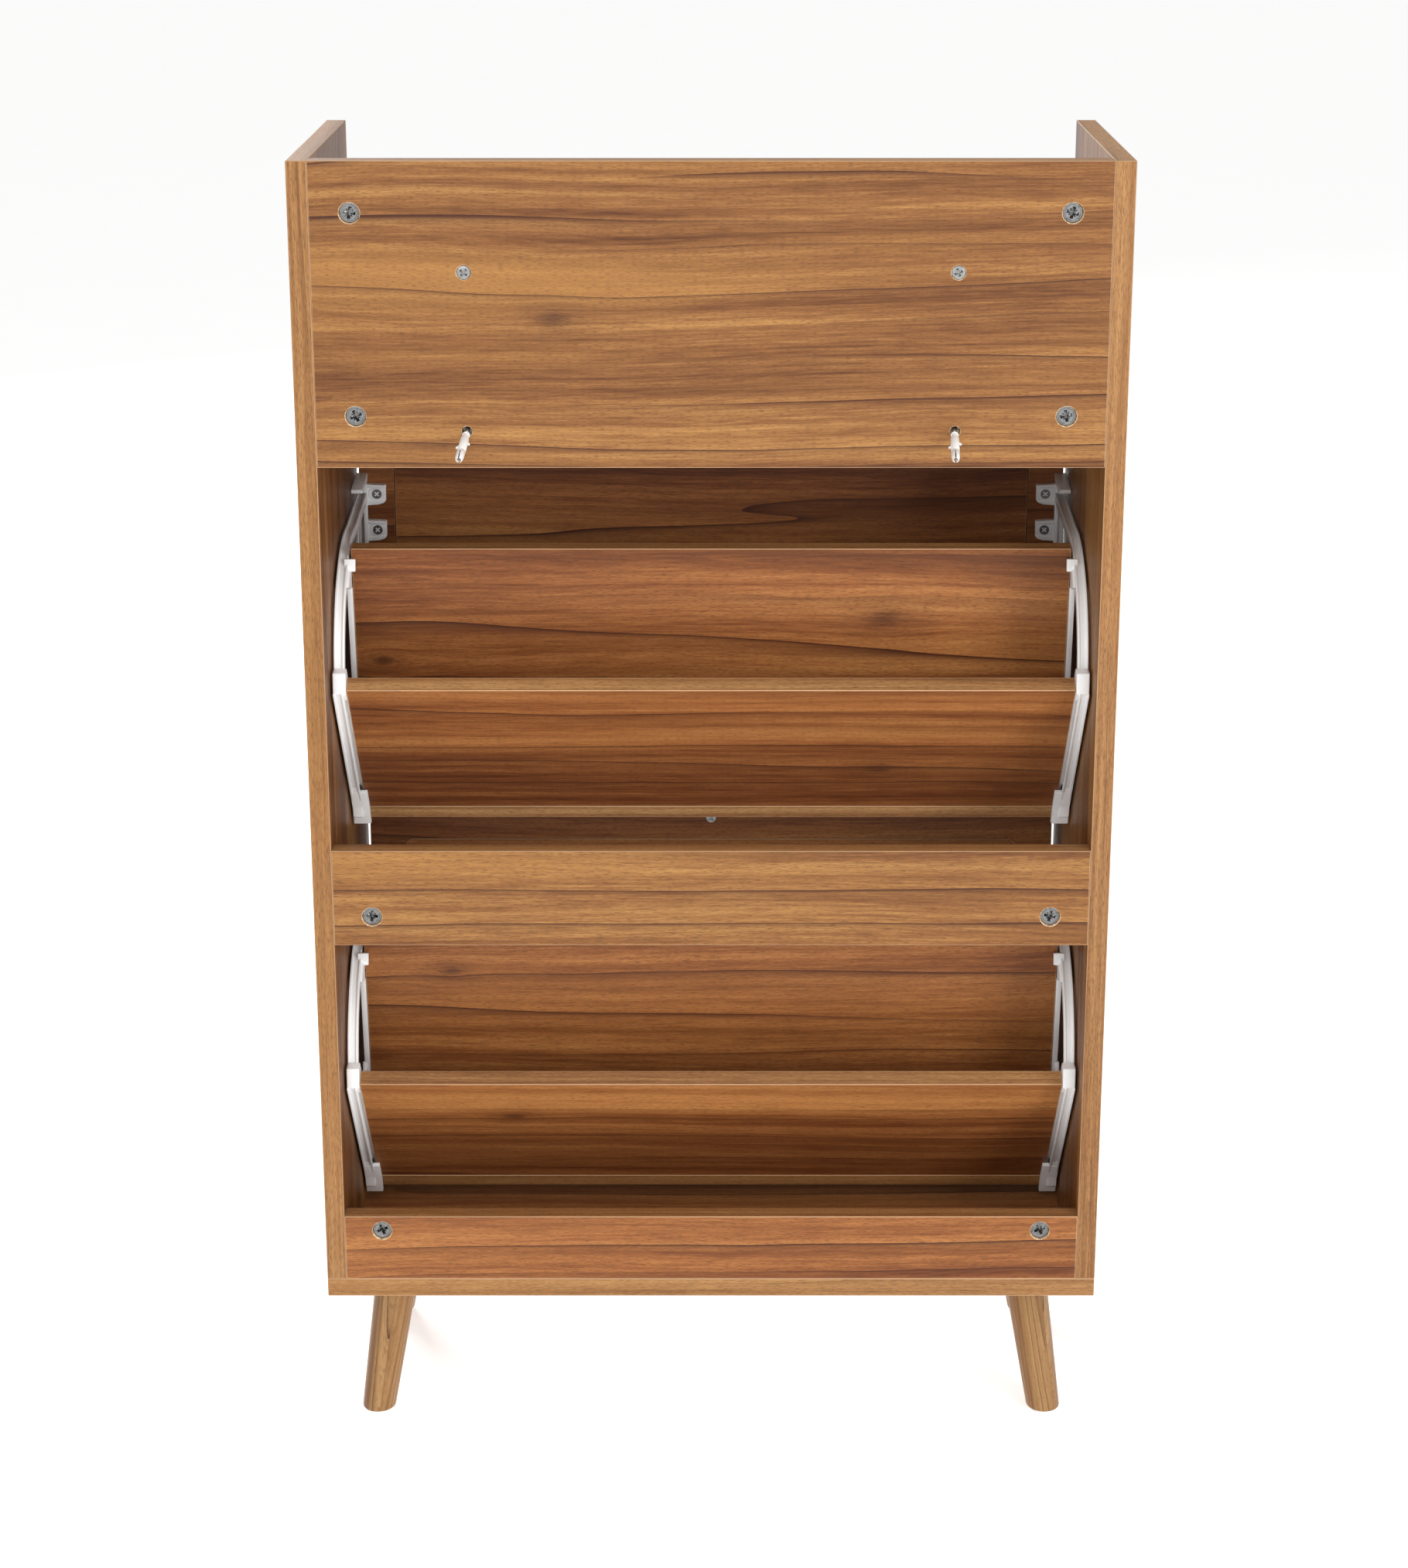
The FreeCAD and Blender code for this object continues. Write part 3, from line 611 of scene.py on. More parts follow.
def drilled(spots, inward, radius, depth):
    bm = bmesh.new()
    for spot in spots:
        holeCutter(bm, spot, inward, radius, depth)
    return bm, [chipCore]


def rearSpots(xs, zs):
    return [Vector((x, rearPlane, z)) for x in xs for z in zs]


def bothWays(distance):
    return (-distance, distance)


# spots in a level board's lower face
def underSpots(xs, spread, low):
    return [Vector((x, middleY + y, low)) for x in xs for y in bothWays(spread)]


camPocket = (fittings["camRadius"], fittings["camDepth"])
camSides, fittingSides = bothWays(camX), bothWays(fittings["spread"])
walnutBoard = (carcassWood, edgeWood)
innerBoard = (innerWood, edgeWood)
uprightAxes, levelAxes = (xAxis, zAxis, -yAxis), (xAxis, yAxis, zAxis)  # along the grain, across, through


def carcassBoard(name, node, axes, woods, cutters=()):
    makeBoard(name, node, axes, "carcass", woods, cutters)


carcassBoard("upperBackPanel", "upper_back_panel", uprightAxes, walnutBoard, [
    drilled(rearSpots(camSides, fittings["backCams"]), -yAxis, *camPocket),
    drilled(rearSpots(fittingSides, (boltUp,)), -yAxis, fittings["boltHead"], fittings["boltHeadDepth"]),
    drilled(rearSpots(fittingSides, (fittings["wallScrewUp"],)), -yAxis, fittings["wallHole"],
            fittings["wallHoleDepth"])])
carcassBoard("middleBackRail", "middle_back_rail", uprightAxes, walnutBoard,
             [drilled(rearSpots(camSides, (fittings["middleCam"],)), -yAxis, *camPocket)])
carcassBoard("bottomBackRail", "bottom_back_rail", uprightAxes, innerBoard,
             [drilled(rearSpots(camSides, (fittings["bottomCam"],)), -yAxis, *camPocket)])
for name, node, low in (("trayBoard", "top_board", topBoardLow), ("nicheFloor", "niche_floor", nicheLow)):
    carcassBoard(name, node, levelAxes, walnutBoard,
                 [drilled(underSpots(camSides, fittings["shelfCams"], low), zAxis, *camPocket)])
for side in ("left", "right"):
    carcassBoard("sidePanel" + side.title(), "side_panel_" + side, (zAxis, yAxis, -xAxis), walnutBoard)
baseX, baseY = fittings["baseScrews"]
carcassBoard("bottomBoard", "bottom_board", levelAxes, innerBoard,
             [drilled(underSpots(bothWays(baseX), baseY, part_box("bottom_board")[0].z), zAxis,
                      fittings["baseHead"], fittings["baseHeadDepth"])])
print("carcass boards made")


# Leaning tier boards: the long direction of each node's section gives its lean. Down runs forwards
# too; through is the thickness, forwards in a steep board and down in a flat one.
def leanOf(node):
    points = [v.co for v in nodes[node].data.vertices]
    midY = sum(p.y for p in points) / len(points)
    midZ = sum(p.z for p in points) / len(points)
    yy = sum((p.y - midY) ** 2 for p in points)
    zz = sum((p.z - midZ) ** 2 for p in points)
    yz = sum((p.y - midY) * (p.z - midZ) for p in points)
    angle = 0.5 * math.atan2(2 * yz, yy - zz)
    down = Vector((0, math.cos(angle), math.sin(angle)))
    if down.y > 0:
        down.negate()
    through = xAxis.cross(down)
    steep = abs(down.z) > abs(down.y)
    if (through.y > 0) if steep else (through.z > 0):
        through.negate()
    return down, through


tierNames = ("front_tier_back", "rear_tier_back", "front_tier_shelf", "rear_tier_shelf")
tierThick = 12.0  # mm
# by tier, alike in both storeys: upper rear corner from the pivot in mm, down, through, width in mm
lean = {}
for storey, body in bodyOf.items():
    for tier in tierNames:
        node = storey + "_" + tier
        down, through = leanOf(node)
        centre, size = measured(node, (xAxis, down, through))
        corner = centre - down * size[1] / 2 - through * size[2] / 2 - pivots[storey]
        lean[tier] = ((corner.y / mm, corner.z / mm), (down.y, down.z), (through.y, through.z), size[1] / mm)
        across = -down
        makeBoard(storey + "".join(w.title() for w in tier.split("_")), node,
                  (xAxis, across, xAxis.cross(across)), body, innerBoard)
print("tier boards made")


# Doors: a frame, and an inset panel that sits in its rebate from behind
door = {"inset": (508 * mm, 237 * mm), "insetCorner": 8 * mm, "insetDepth": 9 * mm, "rebate": 6 * mm,
        "windowCorner": 6 * mm, "windowStart": 2 * mm, "arris": 1.6 * mm, "arrisSteps": 4, "mouth": 0.3 * mm,
        "past": 1 * mm, "panelRim": 0.6 * mm}


def doorCutter(matrix, steps):
    bm = bmesh.new()
    loft(bm, [[matrix @ Vector((x, y, depth)) for x, y in roundedRectangle(wide, tall, corner)]
              for wide, tall, corner, depth in steps])
    return bm, [innerWood]


def makeDoorFrame(storey, body):
    node = storey + "_door"
    low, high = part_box(node)
    centre = (low + high) / 2
    behind = setMatrix(Vector((centre.x, high.y, centre.z)), *uprightAxes)
    thick = high.y - low.y
    wide, tall = door["inset"]
    corner, mouth, arris = door["insetCorner"], door["mouth"], door["arris"]
    seat = doorCutter(behind, [(wide + 2 * mouth, tall + 2 * mouth, corner, -mouth),
                               (wide, tall, corner, mouth), (wide, tall, corner, door["insetDepth"])])
    wide, tall, corner = wide - 2 * door["rebate"], tall - 2 * door["rebate"], door["windowCorner"]
    steps = [(wide, tall, corner, door["windowStart"])]
    for i in range(door["arrisSteps"] + 1):
        turn = math.radians(90 / door["arrisSteps"] * i)
        grow = arris * (1 - math.cos(turn))
        depth = thick - arris + arris * math.sin(turn)
        steps.append((wide + 2 * grow, tall + 2 * grow, corner + grow, depth))
    grow += door["past"]
    steps.append((wide + 2 * grow, tall + 2 * grow, corner + grow, thick + door["past"]))
    makeBoard(storey + "DoorFrame", node, uprightAxes, body, innerBoard,
              [seat, doorCutter(behind, steps)])


def makeDoorPanel(storey, body):
    node = storey + "_door_panel"
    low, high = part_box(node)
    half = (high.y - low.y) / 2
    wide, tall = high.x - low.x, high.z - low.z
    rim = door["panelRim"]
    steps = [(rim, -half), (rim * 0.3, -half + rim * 0.3), (0, -half + rim),
             (0, half - rim), (rim * 0.3, half - rim * 0.3), (rim, half)]
    bm = bmesh.new()
    loft(bm, [[Vector((x, y, z))
               for x, y in roundedRectangle(wide - 2 * cut, tall - 2 * cut, door["insetCorner"] - cut)]
              for cut, z in steps])
    panel = toObject(storey + "DoorPanel", bm, [innerWood, edgeWood, chipCore])
    panel.matrix_world = setMatrix((low + high) / 2, *uprightAxes)
    grainFor(panel, (wide, tall, 2 * half), drifted(), knotsOf(node))
    mount(panel, body, node)


for storey, body in bodyOf.items():
    makeDoorFrame(storey, body)
    makeDoorPanel(storey, body)
print("doors made")


# Knobs and legs: solid wood, with the grain taken from a pith line beside the piece
def solidGrain(obj, toGrain, pith, drift):
    mesh = obj.data
    places = []
    for loop in mesh.loops:
        p = toGrain @ mesh.vertices[loop.vertex_index].co
        ring = math.hypot(p.x - pith[0], p.y - pith[1])
        turn = math.atan2(p.y - pith[1], p.x - pith[0])
        places.append((p.z + drift[0], ring + drift[1], drift[2] + turn * 0.6))
    writeGrain(mesh, places, [0.0] * len(places))


# a turned knob: radius and distance from the door, in mm, from the base out to the middle of its face
knob = {"profile": [(0.3, 0.0), (8.0, 0.0), (8.25, 0.6), (7.9, 2.5), (7.2, 4.6), (6.75, 6.6), (7.1, 8.4),
                    (8.4, 10.0), (10.6, 11.3), (12.8, 12.6), (14.3, 14.2), (14.95, 16.2), (14.9, 18.0),
                    (14.3, 19.8), (13.2, 21.3), (11.6, 22.4), (9.4, 23.2), (6.6, 23.7), (3.4, 23.92),
                    (1.2, 24.0)],
        "sides": 72, "pith": (0.021, 0.012)}
for storey, body in bodyOf.items():
    low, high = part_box(storey + "_knob")
    base = aim(Vector(((low.x + high.x) / 2, high.y, (low.z + high.z) / 2)), -yAxis)
    bm = bmesh.new()
    turned(bm, [(radius * mm, out * mm) for radius, out in knob["profile"]], base, knob["sides"])
    piece = toObject(storey + "Knob", bm, [legWood])
    smooth(piece, 50)
    solidGrain(piece, base.inverted(), knob["pith"], drifted())
    mount(piece, body, storey + "_knob")

# places are from the middle of the bottom board; top is the axis at that board, foot at the floor
leg = {"top": (250 * mm, 62 * mm), "foot": (268 * mm, 80 * mm), "topRadius": 17.2 * mm,
       "footRadius": 13.0 * mm, "boardLow": 122 * mm, "low": 3 * mm, "high": 119.5 * mm, "round": 1.4 * mm,
       "topEase": 0.5 * mm, "rings": 12, "sides": 64, "pith": (0.034, 0.0)}


# heights of a leg's rings, with how much each is cut back to round the end
def legLevels():
    low, high, soft = leg["low"], leg["high"], leg["round"]
    levels = [(low, soft), (low + 0.25 * mm, soft * 0.45), (low + 0.7 * mm, soft * 0.14), (low + soft, 0.0)]
    levels += [(low + soft + (high - low - 2.0 * mm) * i / leg["rings"], 0.0) for i in range(1, leg["rings"])]
    return levels + [(high - 0.6 * mm, 0.0), (high, leg["topEase"])]


def makeLeg(end, side, xSign, ySign):
    foot = Vector((xSign * leg["foot"][0], middleY + ySign * leg["foot"][1], 0))
    head = Vector((xSign * leg["top"][0], middleY + ySign * leg["top"][1], leg["boardLow"]))
    axis = (head - foot).normalized()
    stretch = 1 / axis.z
    splay = Vector((axis.x, axis.y, 0)).normalized()
    sideways = zAxis.cross(splay)
    loops = []
    for z, cut in legLevels():
        share = z / leg["boardLow"]
        centre = foot.lerp(head, share)
        radius = leg["footRadius"] + (leg["topRadius"] - leg["footRadius"]) * share - cut
        loops.append([centre + splay * radius * stretch * math.cos(a) + sideways * radius * math.sin(a)
                      for a in (2 * math.pi * k / leg["sides"] for k in range(leg["sides"]))])
    bm = bmesh.new()
    loft(bm, loops)
    piece = toObject("leg" + end.title() + side.title(), bm, [legWood])
    smooth(piece, 50)
    solidGrain(piece, aim(foot, axis, dice.uniform(0, 6)).inverted(), leg["pith"], drifted())
    mount(piece, "carcass", "leg_%s_%s" % (end, side))


for end, ySign in (("front", -1), ("rear", 1)):
    for side, xSign in (("left", -1), ("right", 1)):
        makeLeg(end, side, xSign, ySign)

glide = {"radius": 11 * mm, "height": 3 * mm}
bm = bmesh.new()
for xSign in (-1, 1):
    for ySign in (-1, 1):
        spot = Vector((xSign * leg["foot"][0], middleY + ySign * leg["foot"][1], 0))
        r, h = glide["radius"], glide["height"]
        turned(bm, [(r - 1.1 * mm, 0), (r - 0.5 * mm, 0.15 * mm), (r - 0.1 * mm, 0.6 * mm), (r, 1.1 * mm),
                    (r, h - 0.3 * mm), (r - 0.3 * mm, h)], Matrix.Translation(spot), 48)
glides = toObject("legGlides", bm, [milkyNylon])
smooth(glides)
mount(glides, "carcass", "leg_glides")
print("knobs, legs and glides made")


# A driver recess: two crossed bars that narrow downwards, and on cam locks four short shallow marks
# between them. Each bar is a cutter of its own, which keeps every cutter a clean closed shape.
recess = {"above": (1.06, 0.3 * mm), "floorShare": 0.6, "markLong": 0.8, "markWide": 0.35, "markDeep": 0.3}


def carveCrosses(obj, spots, size, width, depth, marks=False):
    bars = [(0, size, width, depth), (90, size, width, depth)]
    if marks:
        bars += [(turn, size * recess["markLong"], width * recess["markWide"], depth * recess["markDeep"])
                 for turn in (45, 135)]
    cutters = []
    for turn, long, wide, deep in bars:
        bm = bmesh.new()
        for matrix in spots:
            spin = matrix @ Matrix.Rotation(math.radians(turn), 4, "Z")
            loft(bm, [[spin @ Vector((sx * long / 2 * k, sy * wide / 2 * k, z))
                       for sx, sy in ((1, 1), (-1, 1), (-1, -1), (1, -1))]
                      for k, z in (recess["above"], (1.0, 0.0), (recess["floorShare"], -deep))])
        cutters.append((bm, [obj.data.materials[0]]))
    carve(obj, cutters)


cam = {"radius": 7.38 * mm, "depth": 10.2 * mm, "sink": 2.1 * mm, "rim": 0.45 * mm, "dish": 0.35 * mm,
       "dishFrom": 1.5 * mm, "dishTo": 1.9 * mm, "cross": 8.8 * mm, "crossWidth": 2.4 * mm,
       "crossDepth": 4.4 * mm, "turn": 28}
rearCams = (*fittings["backCams"], fittings["middleCam"], fittings["bottomCam"])
camSpots = [(spot, yAxis) for spot in rearSpots(camSides, rearCams)]
for low in (topBoardLow, nicheLow):
    camSpots += [(spot, -zAxis) for spot in underSpots(camSides, fittings["shelfCams"], low)]
bm = bmesh.new()
camFrames = []
for spot, outward in camSpots:
    matrix = aim(spot - outward * cam["sink"], outward, math.radians(dice.uniform(-cam["turn"], cam["turn"])))
    camFrames.append(matrix @ Matrix.Translation((0, 0, -cam["dish"])))
    r, rim, dish = cam["radius"], cam["rim"], cam["dish"]
    turned(bm, [(r, -cam["depth"]), (r, -rim), (r - rim * 0.3, -rim * 0.3), (r - rim, 0),
                (r - cam["dishFrom"], 0), (r - cam["dishTo"], -dish), (1.0 * mm, -dish)], matrix, 48)
cams = toObject("camLocks", bm, [castZinc])
carveCrosses(cams, camFrames, cam["cross"], cam["crossWidth"], cam["crossDepth"], marks=True)
smooth(cams, 30)
mount(cams, "carcass", "cam_locks")

# bolts through the back panel into the tray board
bolt = {"head": 5.0 * mm, "headDepth": 1.9 * mm, "shank": 2.5 * mm, "length": 48 * mm, "sink": 0.1 * mm,
        "cross": (6.2 * mm, 1.5 * mm, 1.5 * mm)}
bm = bmesh.new()
boltFrames = [aim(spot + yAxis * -bolt["sink"], yAxis, math.radians(dice.uniform(0, 90)))
              for spot in rearSpots(fittingSides, (boltUp,))]
head, headDepth, shank, length = (bolt[key] for key in ("head", "headDepth", "shank", "length"))
for matrix in boltFrames:
    turned(bm, [(shank * 0.6, -length), (shank, -length + 2 * mm), (shank, -headDepth), (head, -headDepth),
                (head, -0.5 * mm), (head - 0.35 * mm, -0.12 * mm), (head - 0.9 * mm, 0)], matrix, 40)
bolts = toObject("trayBolts", bm, [screwSteel])
carveCrosses(bolts, boltFrames, *bolt["cross"])
smooth(bolts, 30)
mount(bolts, "carcass", "top_board_bolts")

# Wall screws in split nylon plugs, which droop in their oversize holes. The split is given as half
# its width, half its breadth and its depth from the tip.
wallFixing = {
    "droop": math.radians(12), "lean": math.radians(3), "turn": 0.4, "reach": 45 * mm, "board": 15 * mm,
    "screw": 1.75 * mm, "screwCore": 1.35 * mm, "pitch": 1.6 * mm, "threadFrom": 6 * mm, "headBack": 6.2 * mm,
    "cross": (4.6 * mm, 1.1 * mm, 1.6 * mm),
    "plugLength": 43 * mm, "neckLength": 7 * mm, "neck": 2.35 * mm, "body": 3.1 * mm, "play": 0.08 * mm,
    "split": (0.5 * mm, 4 * mm, 12.5 * mm), "wingUp": 17 * mm, "wingStep": 3 * mm, "wingThick": 0.75 * mm,
}


# radius and distance from the head, out along the screw
def screwProfile(total):
    core, crest, pitch = wallFixing["screwCore"], wallFixing["screw"], wallFixing["pitch"]
    profile = [(3.7 * mm, 0), (4.1 * mm, 0.25 * mm), (4.2 * mm, 0.5 * mm), (2.0 * mm, 2.9 * mm),
               (crest, 3.3 * mm)]
    for i in range(int((total - 10 * mm) / pitch)):
        z = wallFixing["threadFrom"] + i * pitch
        profile += [(core, z), (crest, z + 0.55 * mm), (crest, z + 0.8 * mm), (core, z + 1.3 * mm)]
    profile = [point for point in profile if point[1] < total - 4 * mm]
    return profile + [(1.3 * mm, total - 4 * mm), (0.3 * mm, total - 0.3 * mm)]


# outside of the plug from its collar to its tip, then its bore
def plugProfile():
    length, neckEnd = wallFixing["plugLength"], wallFixing["neckLength"]
    neck, body, bore = wallFixing["neck"], wallFixing["body"], wallFixing["screw"] + wallFixing["play"]
    return [(neck + 0.35 * mm, 0), (neck + 0.35 * mm, 0.8 * mm), (neck, 1.1 * mm), (neck, neckEnd - 0.6 * mm),
            (body - 0.2 * mm, neckEnd), (body, neckEnd + 0.6 * mm), (body, length - 15 * mm),
            (body - 0.3 * mm, length - 14.5 * mm), (body - 0.3 * mm, length - 13.8 * mm),
            (body, length - 13.3 * mm), (body - 0.1 * mm, length - 5 * mm),
            (body - 0.6 * mm, length - 1.2 * mm), (body - 0.9 * mm, length - 0.4 * mm),
            (body - 1.2 * mm, length), (bore, length), (bore, 0)]


def wingOutline(sign):
    up = wallFixing["wingUp"] - sign * wallFixing["wingStep"]
    return [(sign * out * mm, up + along * mm)
            for out, along in ((2.5, -1.2), (4.6, 1.8), (4.7, 2.5), (4.2, 2.7), (2.5, 1.4))]


w = wallFixing
outward = math.cos(w["droop"])
droopDir = Vector((math.sin(w["lean"]) * outward, math.cos(w["lean"]) * outward, -math.sin(w["droop"])))
screwMesh, plugMesh = bmesh.new(), bmesh.new()
screwFrames, plugFrames = [], []
for x in fittingSides:
    middle = Vector((x, rearPlane - w["board"] / 2, fittings["wallScrewUp"]))
    leave = middle + droopDir * (w["board"] / 2 / droopDir.y)
    head = middle - droopDir * (w["board"] / 2 + w["headBack"])
    screwFrames.append(aim(head, -droopDir, w["turn"]))
    turned(screwMesh, screwProfile(w["board"] + w["reach"] + 2 * mm), aim(head, droopDir, w["turn"]), 28)
    plugFrames.append(aim(leave + droopDir * (w["reach"] - w["plugLength"]), droopDir, 0.0))
    turned(plugMesh, plugProfile(), plugFrames[-1], 40, closed=True)
screws = toObject("wallScrews", screwMesh, [screwSteel])
carveCrosses(screws, screwFrames, *w["cross"])
smooth(screws, 30)
mount(screws, "carcass", "wall_screws")

plugs = toObject("wallPlugs", plugMesh, [milkyNylon])
slots = bmesh.new()
half, wide, deep = w["split"]
for matrix in plugFrames:
    part = bmesh.new()
    slab(part, [(-half, -wide), (half, -wide), (half, wide), (-half, wide)], Matrix.Identity(4),
         w["plugLength"] - deep, w["plugLength"] + 1 * mm, 0)
    addTo(slots, part, matrix)
carve(plugs, [(slots, [milkyNylon])])
wings = bmesh.new()
wings.from_mesh(plugs.data)
for matrix in plugFrames:
    for sign in (-1, 1):
        part = bmesh.new()
        slab(part, wingOutline(sign), Matrix.Rotation(math.pi / 2, 4, "X"), -w["wingThick"], w["wingThick"],
             0.2 * mm)
        addTo(wings, part, matrix)
wings.to_mesh(plugs.data)
wings.free()
smooth(plugs, 35)
mount(plugs, "carcass", "wall_plugs")
print("fittings made")


# Moulded flip frames. Outlines are (back, up) in millimetres from the pivot, x is out from the middle.
flip = {
    "inner": 275.0, "outer": 283.0, "web": 273.25, "lip": 269.6, "doorFace": -8.9, "tabFace": -4.6,
    "barFace": -1.0, "barLow": -47.0, "barHigh": 203.0, "ease": 0.7, "rimDeep": 1.5, "rimWide": 1.7,
    "tabTip": 260.2, "tabRows": (192.7, 163.1, -24.0), "screwX": 267.5, "pad": (13.0, 9.4, 4.2),
    "boss": 8.0, "bossBore": 3.05,
}


# outline of a channel round a tier board: how far it starts before the board, and how far it stands
# behind and ahead of the board's faces
def channel(tier, before, behind, ahead, length=None):
    (back, up), down, through, full = lean[tier]
    start = (back - down[0] * before - through[0] * behind, up - down[1] * before - through[1] * behind)
    run = (full if length is None else length) + before
    deep = tierThick + behind + ahead
    return [(start[0] + down[0] * a + through[0] * b, start[1] + down[1] * a + through[1] * b)
            for a, b in ((0, 0), (run, 0), (run, deep), (0, deep))]


# outline of the curved arm, with its outer side set in by a depth
def arm(sunk):
    return [(-1.0, 194.5 - sunk), (77.0, 187.0 - sunk), "arc", (152.2 - sunk * 0.7, 158.7 - sunk * 0.7),
            (180.0 - sunk, 91.5), (173.0, 91.5), "arc", (147.2, 153.7), (76.5, 180.0), (-1.0, 186.5)]


# a bar or an arm as a web with a lip along each side
def lipped(sunkOutline, outline):
    inner, outer, rimWide = flip["inner"], flip["outer"], flip["rimWide"]
    return [(sunkOutline, inner + 0.2, outer - 0.2, 0.5), (outline, inner, inner + rimWide, 0.5),
            (outline, outer - rimWide, outer, 0.5)]


# every member as its outline, its inner and outer side, and how far its edges are eased
def frameMembers():
    inner, outer, web, lip, ease = (flip[key] for key in ("inner", "outer", "web", "lip", "ease"))
    face, bar, tab, low, high = (flip[key] for key in ("doorFace", "barFace", "tabFace", "barLow", "barHigh"))
    members = [
        # bar along the door, its rib, and the flange that closes it at the top
        ([(bar, low), (bar, high), (face, high), (face, low)], inner, inner + 3.2, ease),
        ([(tab, low), (tab, high), (face, high), (face, low)], inner, outer, ease),
        ([(face, 209.0), (27.0, 203.5), (27.0, 200.5), (bar, 201.5), (face, 202.0)], inner, 284.3, 0.5),
        ([(bar, 26.0), (5.0, 5.0), (5.0, -8.0), (bar, -26.0), (-6, -20), (-6, 20)], inner, outer, ease),
    ]
    # curved arm down to the knee, the knee, and the channel that holds the rear leaning board
    members += lipped(arm(flip["rimDeep"]), arm(0))
    members.append(([(179.0, 103.0), (189.5, 102.0), (190.5, 86.0), (180.0, 78.0), (167.0, 82.0),
                     (170.0, 92.0)], web, outer, 1.0))
    members += lipped(channel("rear_tier_back", -1.0, 4.0 - flip["rimDeep"], 2.0),
                      channel("rear_tier_back", -1.0, 4.0, 2.0))
    members += [
        (channel("rear_tier_back", -3.0, -3.0, -3.0), web, inner + 2, 0.6),
        # foot under the lower boards
        ([(112.0, -12.0), (98.0, -16.0), (84.0, -34.0), (79.0, -53.0), (87.5, -54.0), (89.0, -48.5),
          (93.0, -46.5), (95.5, -37.0), (107.0, -21.0)], inner, outer, 0.8),
        ([(107.0, -21.5), (104.3, -19.6), (90.0, -37.8), (84.3, -50.3), (82.5, -53.6), (87.5, -54.0),
          (93.0, -40.5)], lip, outer, 0.35),
        # seats of the other boards
        (channel("rear_tier_shelf", -2.0, -2.0, 5.0, 96.5), inner, outer, 1.0),
        (channel("front_tier_back", -22.0, 1.5, 1.5), web, inner + 2.5, 0.5),
        (channel("front_tier_shelf", 4.0, 1.5, 3.0, 117.5), web, inner + 4.0, 0.6),
        # brace between them, and the hook on the arm
        ([(117.0, 76.0), (120.5, 70.0), "arc", (144.0, 73.5), (168.0, 86.0), (172.0, 79.0),
          "arc", (145.0, 59.0), (110.0, 43.0), (106.0, 44.0)], inner, inner + 4.0, 0.8),
        ([(121.0, 150.0), (133.0, 152.0), (150.0, 158.0), (143.0, 163.0), (131.0, 172.0), (124.0, 172.0)],
         web, outer, 0.7),
        ([(132.9, 166.0), (136.4, 166.5), (135.3, 176.0), (131.6, 175.4)], lip, inner + 3.0, 0.5),
    ]
    return members


# a tapered ear with a fold along its top and bottom and a raised oval pad under the screw
def screwTab(row):
    face, tip, root = flip["doorFace"], flip["tabTip"], flip["inner"] + 1.5
    pad = [(flip["screwX"] + x, row + y) for x, y in roundedRectangle(*flip["pad"])]
    tab = bmesh.new()
    for outline, near, ease in (
            ([(root, row + 8.2), (root, row - 9.0), (tip + 6.0, row - 8.2), (tip + 1.4, row - 7.0),
              (tip + 0.2, row - 5.6), (tip, row + 6.8), (tip + 0.6, row + 7.4)], flip["tabFace"], 0.7),
            ([(root, row + 8.4), (root, row + 5.6), (tip + 0.8, row + 5.2), (tip + 0.6, row + 7.6)],
             -1.4, 0.5),
            ([(root, row - 6.4), (root, row - 9.4), (tip + 6.0, row - 8.6), (tip + 1.6, row - 7.2),
              (tip + 0.8, row - 5.2)], -3.2, 0.5),
            (pad, -3.75, 0.45)):
        slab(tab, outline, Matrix.Identity(4), face, near, ease)
    return tab


def flipFrame(name, storey, sign, body, node):
    toMetres = Matrix.Diagonal((mm, mm, mm, 1))
    place = Matrix.Translation(pivots[storey])
    # an outline's (back, up) with x outwards, and a tab's (x outwards, up) with its depth backwards
    sideOn = place @ Matrix(((0, 0, sign), (1, 0, 0), (0, 1, 0))).to_4x4() @ toMetres
    faceOn = place @ Matrix(((sign, 0, 0), (0, 0, 1), (0, 1, 0))).to_4x4() @ toMetres
    bm = bmesh.new()
    for outline, near, far, ease in frameMembers():
        slab(bm, traced(outline), sideOn, near, far, ease)
    ring = bmesh.new()
    bore, boss, web, outer = (flip[key] for key in ("bossBore", "boss", "web", "outer"))
    turned(ring, [(bore, web), (boss - 0.6, web), (boss, web + 0.6), (boss, outer - 0.6), (boss - 0.6, outer),
                  (bore, outer)], Matrix.Identity(4), 48, closed=True)
    addTo(bm, ring, sideOn)
    for row in flip["tabRows"]:
        addTo(bm, screwTab(row), faceOn)
    obj = toObject(name, bm, [framePlastic])
    smooth(obj, 28)
    mount(obj, body, node)


for storey, body in bodyOf.items():
    for side, sign in (("left", -1), ("right", 1)):
        flipFrame(storey + "FlipFrame" + side.title(), storey, sign, body, storey + "_flip_frame_" + side)
print("flip frames made")

# nylon seats for the pivot pins in the side panels
bush = {"bore": 3.05 * mm, "barrel": 5.0 * mm, "length": 9.6 * mm, "flange": 8.0 * mm,
        "flangeThick": 1.2 * mm}
bm = bmesh.new()
for pivot in pivots.values():
    for sign in (-1, 1):
        matrix = aim(Vector((sign * sidePanelInner, pivot.y, pivot.z)), xAxis * sign)
        bore, flange, thick = bush["bore"], bush["flange"], bush["flangeThick"]
        turned(bm, [(bore, -thick), (flange - 0.5 * mm, -thick), (flange, -0.8 * mm), (flange, 0.0),
                    (bush["barrel"], 0.0), (bush["barrel"], bush["length"]), (bore, bush["length"])],
               matrix, 40, closed=True)
bushes = toObject("pivotBushes", bm, [milkyNylon])
smooth(bushes)
mount(bushes, "carcass", "pivot_bushes")

